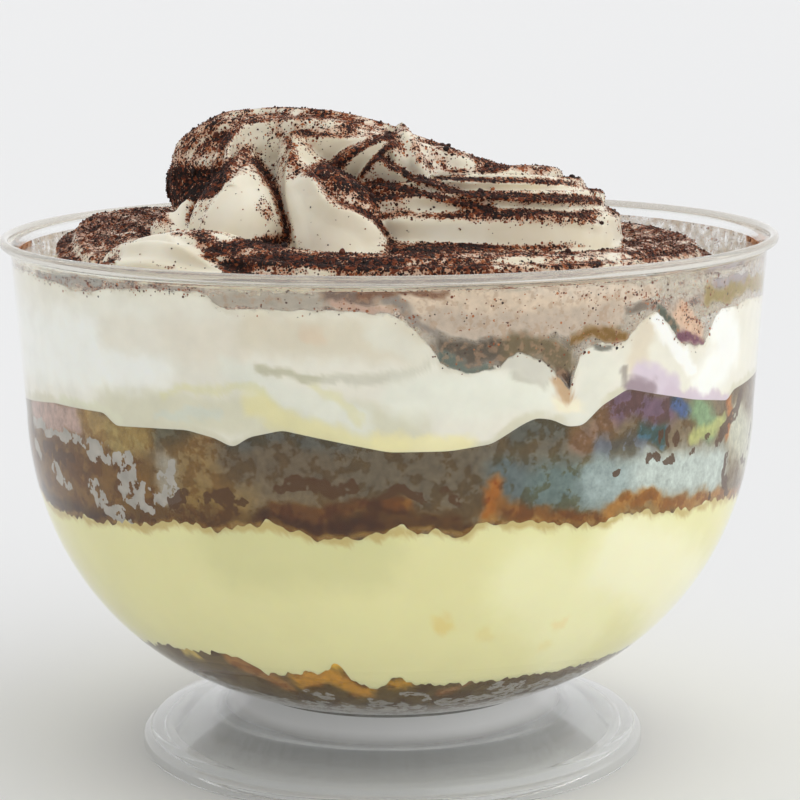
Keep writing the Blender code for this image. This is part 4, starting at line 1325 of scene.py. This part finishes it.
# %% Strokes on the custard and the lower sponge
CUSTARD_TONES = (
    ((206, 202, 150), 0.8, 8, ((-24, 38.5), (-13, 39), (-4, 39))),
    # Paler to the right: painted light from the lamp on that side.
    ((231, 225, 178), 1, 9, ((22, 34), (28, 30), (35, 24))),
    ((237, 231, 192), 1, 9, ((38, 36), (50, 32), (62, 26), (76, 22))),
    ((186, 163, 104), 0.8, 1.0, MIDDLE_BOTTOM),
    ((218, 198, 128), 0.8, 1.9, ((8.1, 28.7), (9.0, 28.1))),
    ((217, 203, 140), 0.6, 1.4, ((15.9, 26.9), (16.6, 26.6))),
    ((226, 206, 150), 0.6, 1.3, ((28.9, 27.2), (30.6, 26.8))),
    ((226, 212, 150), 0.5, 1.2, ((28.1, 23.5), (29.3, 23.4))),
)
BASE_TONES = (
    ((190, 165, 90), 0.9, 1.4, ((-43.4, 21.5), (-41.5, 21.0))),
    ((150, 108, 62), 1, 2.0, ((-32.3, 21.4), (-26.8, 19.9), (-23.5, 17.6))),
    ((186, 135, 55), 1, 2.2, ((-18.7, 18.7), (-12.3, 20.1), (-6.2, 17.3))),
    ((222, 175, 70), 1, 1.2, ((-10.5, 22.3), (-9.7, 21.8))),
    ((176, 130, 50), 1, 1.3, ((-0.3, 19.1), (2.5, 19.0))),
    ((140, 105, 70), 1, 1.0, ((11.6, 16.9), (16.3, 18.0))),
)
# Where the crumb stands off the wall: painted pale, as painted reflection.
BASE_GAP_REFLECTIONS = (
    (0.95, 3.6, ((-75, 14), (-45, 12), (-20, 10.8), (0, 10.4), (20, 10.8), (45, 12), (75, 14))),
    (1, 1.5, ((-62, 16.6), (-52, 14.2), (-40, 12.8))),
    (1, 1.6, ((-50, 16.0), (-40, 14.8), (-28, 13.6))),
    (0.9, 1.5, ((-22, 13.8), (-12, 13.4), (-2, 13.0), (8, 13.2))),
    (0.95, 1.6, ((12, 14.6), (20, 14.8), (30, 15.2), (44, 15.6), (60, 16.4))),
    (1, 1.3, ((-46.0, 12.5), (-36.5, 11.5))),
    (1, 1.0, ((-33.3, 11.4), (-23.3, 10.9))),
    (1, 0.9, ((-18.9, 16.6), (-13.9, 15.8))),
    (1, 1.2, ((-4.5, 14.9), (3.8, 14.4))),
    (1, 1.2, ((-8.1, 10.5), (2.0, 10.2))),
    (1, 1.0, ((3.4, 16.9), (9.2, 15.5))),
    (0.9, 1.0, ((16.5, 13.0), (32.0, 12.0))),
    (1, 1.0, ((22.5, 17.1), (29.8, 16.7))),
    (1, 1.0, ((40.1, 11.9), (50.1, 14.1), (56.3, 16.8))),
)
print(len(CUSTARD_TONES), "strokes on the custard,", len(BASE_TONES + BASE_GAP_REFLECTIONS), "on the lower sponge")

# %% [markdown]
# Painting could use a flat texture, but that needs unwrapping and has a fixed sharpness. Here each
# vertex gets its place as millimetres round the bowl and height, and the strokes are laid over it in turn.
# The back of the bowl isn't listed: it repeats the front, folded over at the sides.

# %% Laying strokes on a wall
MM_PER_DEGREE = 0.9
WANDER = ((2.6, 0.8), (0.9, 0.45))
STROKE_FULLNESS = 1.4


def wall_places(thing, per_degree=MM_PER_DEGREE):
    """Each vertex as millimetres round the bowl from the front and height, with the back folded over.
    Noise shifts the places a little, so that the strokes painted there wander like real smears."""
    spots = points_of(thing)
    degrees = np.degrees(np.arctan2(spots[:, 0], np.abs(spots[:, 1])))
    places = np.column_stack([degrees * per_degree, spots[:, 2], np.zeros(len(spots))])
    for size, reach in WANDER:
        shifts = [noise.noise_vector(Vector(spot) / size) for spot in spots]
        places[:, :2] += reach * np.array(shifts)[:, :2]
    return places


def stroke_shares(places, width, line, per_degree=MM_PER_DEGREE):
    """How strongly one stroke touches each place, with a soft edge."""
    knots = np.array([(degrees * per_degree, height, 0) for degrees, height in line])
    far, _ = near_line(places, knots, width)
    return falloff(np.clip(STROKE_FULLNESS * (1 - far / width), 0, 1))


# %% [markdown]
# The colours in the lists are those that show from outside. The food under them is painted lighter,
# for the light that the wall takes, and darker by the veil of light that the wall mirrors over it.

# %% Painting colours and amounts
LIFT = 1.29
VEIL = 0.018
LEAST = 0.45


def paint_tones(thing, places, ground, strokes, per_degree=MM_PER_DEGREE):
    """Paints a colour on every vertex: the ground colour and the strokes over it."""
    colour = np.tile(np.array(ground, dtype=float), (len(places), 1))
    for stroke_colour, strength, width, line in strokes:
        share = strength * stroke_shares(places, width, line, per_degree)
        colour += (np.array(stroke_colour) - colour) * share[:, None]
    seen = linear(colour)
    food = np.maximum(seen * LIFT - VEIL, seen * LEAST)
    values = np.column_stack([food, np.ones(len(food))]).astype(np.float32)
    attribute = thing.data.attributes.new("tone", "FLOAT_COLOR", "POINT")
    attribute.data.foreach_set("color", values.ravel())


def paint_amount(thing, places, name, ground, strokes, per_degree=MM_PER_DEGREE):
    """Paints one value on every vertex in the same way."""
    amount = np.full(len(places), float(ground))
    for strength, width, line in strokes:
        amount = np.maximum(amount, strength * stroke_shares(places, width, line, per_degree))
    paint(thing, name, amount)


def change(thing, name, how):
    """Passes the values painted on the vertices through a function."""
    values = np.zeros(len(thing.data.vertices))
    thing.data.attributes[name].data.foreach_get("value", values)
    thing.data.attributes[name].data.foreach_set("value", how(values).astype(np.float32))


# %% [markdown]
# Each layer starts from its ground colour. The film is thickest where its strokes are, laps thinly over
# the cream's edge, and is one pale tone behind. The lower sponge is narrow, so a degree there is
# shorter, and its underside on the floor of the bowl is painted pale like its gaps, which is painted
# reflection.

# %% Painting the layers
CREAM_GROUND = (222, 217, 202)
FILM_GROUND = (190, 180, 166)
MIDDLE_GROUND = (116, 100, 76)
CUSTARD_GROUND = (221, 215, 162)
BASE_GROUND = (98, 80, 50)
FILM_COVER, FILM_LEAST_DUST, LAP_FADE = 0.35, 0.08, 0.3
SIDE = 78
BASE_MM_PER_DEGREE = 0.66
BASE_UNDERSIDE, UNDERSIDE_FADE = 9.0, 0.6

places = wall_places(cream)
paint_tones(cream, places, CREAM_GROUND, CREAM_TONES)
paint_amount(cream, places, "dust", 0.0, ())

places = wall_places(film)
spots = points_of(film)
behind = (spots[:, 1] > 0) & (np.abs(places[:, 0]) < SIDE * MM_PER_DEGREE)
places[behind, 0] = BEHIND * MM_PER_DEGREE
paint_tones(film, places, FILM_GROUND, FILM_TONES)
paint_amount(film, places, "cover", FILM_COVER, [stroke[1:] for stroke in FILM_TONES])
edge = np.interp(np.degrees(np.arctan2(spots[:, 0], -spots[:, 1])), ANGLES, cream_top, period=360)
share = np.clip(1 + (spots[:, 2] - edge) / FILM_LAP, 0, 1)
change(film, "cover", lambda cover: cover * share - LAP_FADE * (1 - share))
paint_amount(film, places, "dust", FILM_LEAST_DUST, FILM_DUST)

places = wall_places(sponge_middle)
paint_tones(sponge_middle, places, MIDDLE_GROUND, MIDDLE_TONES + MIDDLE_EDGES)
paint_amount(sponge_middle, places, "gap_reflection", 0.0, MIDDLE_GAP_REFLECTIONS)
paint_amount(sponge_middle, places, "marks", 0.0, BROWN_MARKS)

paint_tones(custard, wall_places(custard), CUSTARD_GROUND, CUSTARD_TONES)

places = wall_places(sponge_base, BASE_MM_PER_DEGREE)
paint_tones(sponge_base, places, BASE_GROUND, BASE_TONES, BASE_MM_PER_DEGREE)
paint_amount(sponge_base, places, "gap_reflection", 0.0, BASE_GAP_REFLECTIONS, BASE_MM_PER_DEGREE)
# The underside on the floor of the bowl is painted pale as well: painted reflection.
underside = np.clip((BASE_UNDERSIDE - points_of(sponge_base)[:, 2]) / UNDERSIDE_FADE, 0, 1)
change(sponge_base, "gap_reflection", lambda gap_reflection: np.maximum(gap_reflection, underside))
print("painted", sum(len(piece.data.vertices) for piece in (*layer_slots, film)), "vertices")

# %% [markdown]
# The painted colours are smooth, and food isn't. Each material takes its painted colour and makes it a
# little darker and lighter with noise of its own size. No layer gets a gloss: the wall in front has it.

# %% The painted colour in a material
LAYER_FINISH = dict(Roughness=0.8, Specular_IOR_Level=0.0)


def tone_of(tree):
    """The painted colour."""
    return node(tree, "Attribute", {}, attribute_name="tone").outputs["Color"]


def varied(tree, colour, value, low, high):
    """A colour made darker and lighter by a value from 0 to 1."""
    inputs = {"Value": value, "From Min": 0.3, "From Max": 0.7, "To Min": low, "To Max": high}
    shade = node(tree, "MapRange", inputs).outputs["Result"]
    grey = node(tree, "CombineColor", {"Red": shade, "Green": shade, "Blue": shade}).outputs["Color"]
    return blend(tree, 1.0, colour, grey, "MULTIPLY")


def dusted_tone(material, tone):
    """Puts a colour with fine cocoa on it into a material, and hands back the cocoa's node."""
    dust = use(material.node_tree, dusting, Amount=painted(material.node_tree, "dust"), Cream=tone)
    put(material.node_tree, dust.outputs["Color"], shader_of(material).inputs["Base Color"])
    return dust


# %% [markdown]
# Cream and custard let light in under their skin, and custard is the smoother one. The film is cream
# smeared thin, so its Alpha follows its painted cover, broken up by noise, and cocoa in it stays solid.

# %% Cream, custard and film
CREAM_MOTTLE, CUSTARD_MOTTLE, FILM_MOTTLE = (3.5, 4), (7, 3), (1.1, 4)
SMEARED_COCOA = srgb(184, 148, 116)
ROSY_CLOUDS, ROSY_BAND, ROSY_SHARE = (0.9, 4), (0.5, 0.64), 0.45
HOLES, HOLE_GAIN, HOLE_BAND, FILM_SOLID = (1.6, 4), 0.9, (0.1, 0.75), 0.97

cream_look = new_material(
    "cream", Subsurface_Weight=0.2, Subsurface_Radius=(1.0, 0.8, 0.6), Subsurface_Scale=0.001, **LAYER_FINISH)
tree = cream_look.node_tree
dusted_tone(cream_look, varied(tree, tone_of(tree), grain(tree, *CREAM_MOTTLE), 0.955, 1.045))
finish(cream, cream_look)

custard_look = new_material(
    "custard", Subsurface_Weight=0.3, Subsurface_Radius=(1.0, 0.8, 0.35), Subsurface_Scale=0.002,
    **LAYER_FINISH)
tree = custard_look.node_tree
tone = varied(tree, tone_of(tree), grain(tree, *CUSTARD_MOTTLE), 0.98, 1.02)
put(tree, tone, shader_of(custard_look).inputs["Base Color"])
finish(custard, custard_look)

film_look = new_material("smeared_film", **LAYER_FINISH)
tree = film_look.node_tree
tone = varied(tree, tone_of(tree), grain(tree, *FILM_MOTTLE), 0.9, 1.12)
rosy = number(tree, "MULTIPLY", fade(tree, grain(tree, *ROSY_CLOUDS), *ROSY_BAND), ROSY_SHARE)
dust = dusted_tone(film_look, blend(tree, rosy, tone, SMEARED_COCOA))
ragged = number(tree, "MULTIPLY_ADD", grain(tree, *HOLES), HOLE_GAIN, -HOLE_GAIN / 2)
thick = number(tree, "ADD", painted(tree, "cover"), ragged)
alpha = number(tree, "MULTIPLY", fade(tree, thick, *HOLE_BAND), FILM_SOLID)
alpha = number(tree, "MAXIMUM", alpha, dust.outputs["Cover"])
put(tree, alpha, shader_of(film_look).inputs["Alpha"])
finish(film, film_look)
print("looks", cream_look.name, custard_look.name, film_look.name)

# %% [markdown]
# Sponge shows crumbs, which are browner in the light tones and lost where the wall looks misty. The
# painted gaps, pale with painted reflection, and the marks are only amounts: a ragged noise added to them
# breaks them into islands with sharp edges. The noise is stretched, because wet sponge tears in flat strips.

# %% Sponges
# Pale colours of the gaps: painted reflection where the crumb stands off the wall.
REFLECTION_PALE = srgb(176, 169, 158)
WET_REFLECTION_PALE = srgb(163, 156, 145)
DARK_MARK = srgb(84, 52, 18)
CRUMB_SHADE = (0.7, 0.57, 0.36, 1)
MISTY = (0.34, 0.2)
FINE_CRUMB, CRUMB_CONTRAST = (1.1, 5), (0.72, 1.28)
BIG_CRUMB, CRUMB_BAND = (3.0, 6), (0.49, 0.54)
RAGGED_GAIN = 4.4
GAP_REFLECTION_PUSH, GAP_REFLECTION_BAND = 0.75, (0.48, 0.58)
MARK_PUSH, MARK_BAND, MARK_STRENGTH = 1.0, (0.42, 0.55), 0.9


def sponge_material(name, gap_size, gap_stretch, reflection_colour):
    """Soaked crumb: the painted colour with a fine grain, and sharp pale islands of painted reflection where
    it stands off.
    """
    material = new_material(name, **LAYER_FINISH)
    tree = material.node_tree
    place = node(tree, "TexCoord", {}).outputs["Object"]
    tone = varied(tree, tone_of(tree), grain(tree, *FINE_CRUMB, place, 0.7), *CRUMB_CONTRAST)
    crumbs = fade(tree, grain(tree, *BIG_CRUMB, place, 0.64), *CRUMB_BAND)
    green = node(tree, "SeparateColor", {"Color": tone_of(tree)}).outputs["Green"]
    crumbs = number(tree, "MULTIPLY", crumbs, fade(tree, green, *MISTY))
    tone = blend(tree, crumbs, tone, CRUMB_SHADE, "MULTIPLY")
    flat = node(tree, "Mapping", {"Vector": place, "Scale": gap_stretch}).outputs["Vector"]
    ragged = grain(tree, gap_size, 3, flat, 0.6)
    ragged = number(tree, "MULTIPLY_ADD", ragged, RAGGED_GAIN, -RAGGED_GAIN / 2)
    gap_reflection = number(tree, "MULTIPLY", painted(tree, "gap_reflection"), number(tree, "ADD", ragged, GAP_REFLECTION_PUSH))
    pale_reflection = varied(tree, reflection_colour, grain(tree, 2.0, 2, place), 0.82, 1.15)
    tone = blend(tree, fade(tree, gap_reflection, *GAP_REFLECTION_BAND), tone, pale_reflection)
    marks = number(tree, "MULTIPLY", painted(tree, "marks"), number(tree, "ADD", ragged, MARK_PUSH))
    marks = number(tree, "MULTIPLY", fade(tree, marks, *MARK_BAND), MARK_STRENGTH)
    put(tree, blend(tree, marks, tone, DARK_MARK), shader_of(material).inputs["Base Color"])
    return material


finish(sponge_middle, sponge_material("soaked_sponge", 1.4, (1, 1, 0.8), REFLECTION_PALE))
finish(sponge_base, sponge_material("wet_sponge", 1.25, (1, 1, 2.0), WET_REFLECTION_PALE))
print("looks", sponge_middle.data.materials[0].name, sponge_base.data.materials[0].name)

# %% [markdown]
# Whipped cream is a little warm and lets light in under its skin, so its shadows stay soft and
# yellowish. Where cocoa lies, the surface is dry and rough.

# %% Dusted cream
CREAM = srgb(236, 229, 210)
CREAM_SHADE = srgb(223, 213, 188)
CREAM_GLOW = dict(Subsurface_Weight=0.35, Subsurface_Radius=(1.0, 0.75, 0.5), Subsurface_Scale=0.0015)
MOIST, DRIER = 0.42, 0.45
SPECK_HEIGHT = 0.15

dusted_cream = new_material("dusted_cream", Roughness=MOIST, IOR=1.4, **CREAM_GLOW)
tree = dusted_cream.node_tree
plain = blend(tree, fade(tree, grain(tree, 9, 3), 0.35, 0.7), CREAM, CREAM_SHADE)
dust = dusted_tone(dusted_cream, plain)
dry = number(tree, "MULTIPLY_ADD", dust.outputs["Cover"], DRIER, MOIST)
put(tree, dry, shader_of(dusted_cream).inputs["Roughness"])
bump = node(tree, "Bump", {"Height": dust.outputs["Height"], "Strength": 0.8, "Distance": SPECK_HEIGHT * MM})
put(tree, bump.outputs["Normal"], shader_of(dusted_cream).inputs["Normal"])

finish(swirl, dusted_cream)
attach(swirl, "root")
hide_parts("cream_swirl")
print(swirl.name, "has", triangles(swirl), "triangles")

# %% [markdown]
# Coarse cocoa is modelled grain by grain, because it breaks the smooth outline of the cream. Each
# kind starts from one primitive, a small cone or a sphere, with its corners moved at random.

# %% One grain of cocoa
LUMPINESS = dict(offset=0.28, uniform=0.6, seed=5)
CONE_DEPTH = 1.2


def grain_shape(name, detail):
    """One lumpy grain with a radius of one."""
    deselect()
    if detail:
        bpy.ops.mesh.primitive_ico_sphere_add(subdivisions=detail, radius=1)
    else:
        bpy.ops.mesh.primitive_cone_add(
            vertices=4, radius1=1, radius2=0, depth=CONE_DEPTH, end_fill_type="NGON")
    shape = bpy.context.object
    shape.name = name
    edit(shape, "SELECT")
    bpy.ops.transform.vertex_random(**LUMPINESS)
    bpy.ops.mesh.quads_convert_to_tris()
    bpy.ops.mesh.normals_make_consistent(inside=False)
    done()
    return shape


# %% [markdown]
# Copies of the grain are turned, sized and set on random spots of the swirl, more often where more
# dust lies, and a few anywhere. They are sunk into the cream by different depths, and every copy
# keeps a random shade, which is darker where the cocoa is thick.

# %% Scattering grains
TINY_SHARE = 0.022
CROWDING, SMALL_ONES, DARK_ONES = 1.6, 1.8, 1.4
RAISED = (0.1, 0.6)
THIN_SHADE, THICK_LOSS, LEAST_SHADE = 1.35, 0.75, 0.25


def triangles_of(thing):
    """The corners of all triangles of a mesh object, in millimetres, with their vertex numbers."""
    thing.data.calc_loop_triangles()
    corners = np.zeros(len(thing.data.loop_triangles) * 3, dtype=int)
    thing.data.loop_triangles.foreach_get("vertices", corners)
    corners = corners.reshape(-1, 3)
    return points_of(thing)[corners], corners


def random_turns(chance, count):
    """Random rotations as rows of 3 by 3."""
    axes = np.linalg.qr(chance.normal(size=(count, 3, 3)))[0]
    return axes * np.sign(np.linalg.det(axes))[:, None, None]


def scatter(name, ground, amount, seed, detail, count, sizes, squash, least):
    """Sets copies of a grain on the ground, with more where the amount is high."""
    chance = np.random.default_rng(seed)
    places, corners = triangles_of(ground)
    across = np.cross(places[:, 1] - places[:, 0], places[:, 2] - places[:, 0])
    area = np.linalg.norm(across, axis=1)
    wanted = amount[corners].mean(axis=1)
    weight = area * (np.clip(wanted - least, 0, 1) ** CROWDING + TINY_SHARE)
    picked = chance.choice(len(area), size=count, p=weight / weight.sum())
    shares = chance.dirichlet((1, 1, 1), size=count)
    middles = np.einsum("ij,ijk->ik", shares, places[picked])
    normals = across[picked] / area[picked, None]
    low, high = sizes
    radii = low + (high - low) * chance.random(count) ** SMALL_ONES
    middles += normals * (radii * chance.uniform(*RAISED, count))[:, None]

    shape = grain_shape(name, detail)
    form = points_of(shape) * MM
    form[:, 2] *= squash
    faces = np.array([face.vertices[:] for face in shape.data.polygons])
    turned = np.einsum("nij,vj->nvi", random_turns(chance, count), form)
    points = (turned * radii[:, None, None] + middles[:, None, :]).reshape(-1, 3) * MM
    numbers = faces[None, :, :] + (np.arange(count) * len(form))[:, None, None]
    mesh = bpy.data.meshes.new(name)
    mesh.from_pydata(points.tolist(), [], numbers.reshape(-1, 3).tolist())
    shape.data = mesh
    thin = np.clip(THIN_SHADE - THICK_LOSS * wanted[picked], LEAST_SHADE, 1)
    paint(shape, "shade", np.repeat(chance.random(count) ** DARK_ONES * thin, len(form)))
    return shape


# %% [markdown]
# Three kinds of grain make up the coarse cocoa: powder nearly everywhere, larger grains where it lies
# thicker, and a few clumps where it is thickest. The sizes are radii in millimetres, and each kind is
# one piece with a seed of its own.

# %% Coarse cocoa
GRAIN_KINDS = {
    "cocoa_powder": dict(detail=0, count=26000, sizes=(0.07, 0.16), squash=0.75, least=0.12),
    "cocoa_grains": dict(detail=1, count=5500, sizes=(0.11, 0.23), squash=0.8, least=0.35),
    "cocoa_clumps": dict(detail=2, count=150, sizes=(0.22, 0.46), squash=0.8, least=0.7),
}

cocoa_look = new_material("cocoa", Roughness=0.85)
tree = cocoa_look.node_tree
put(tree, ramp(tree, painted(tree, "shade"), COCOA_BROWNS), shader_of(cocoa_look).inputs["Base Color"])
for seed, (name, kind) in enumerate(GRAIN_KINDS.items(), start=1):
    cocoa = scatter(name, swirl, swirl_dust, seed, **kind)
    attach(cocoa, "root")
    finish(cocoa, cocoa_look)
    print(name, triangles(cocoa), "triangles")
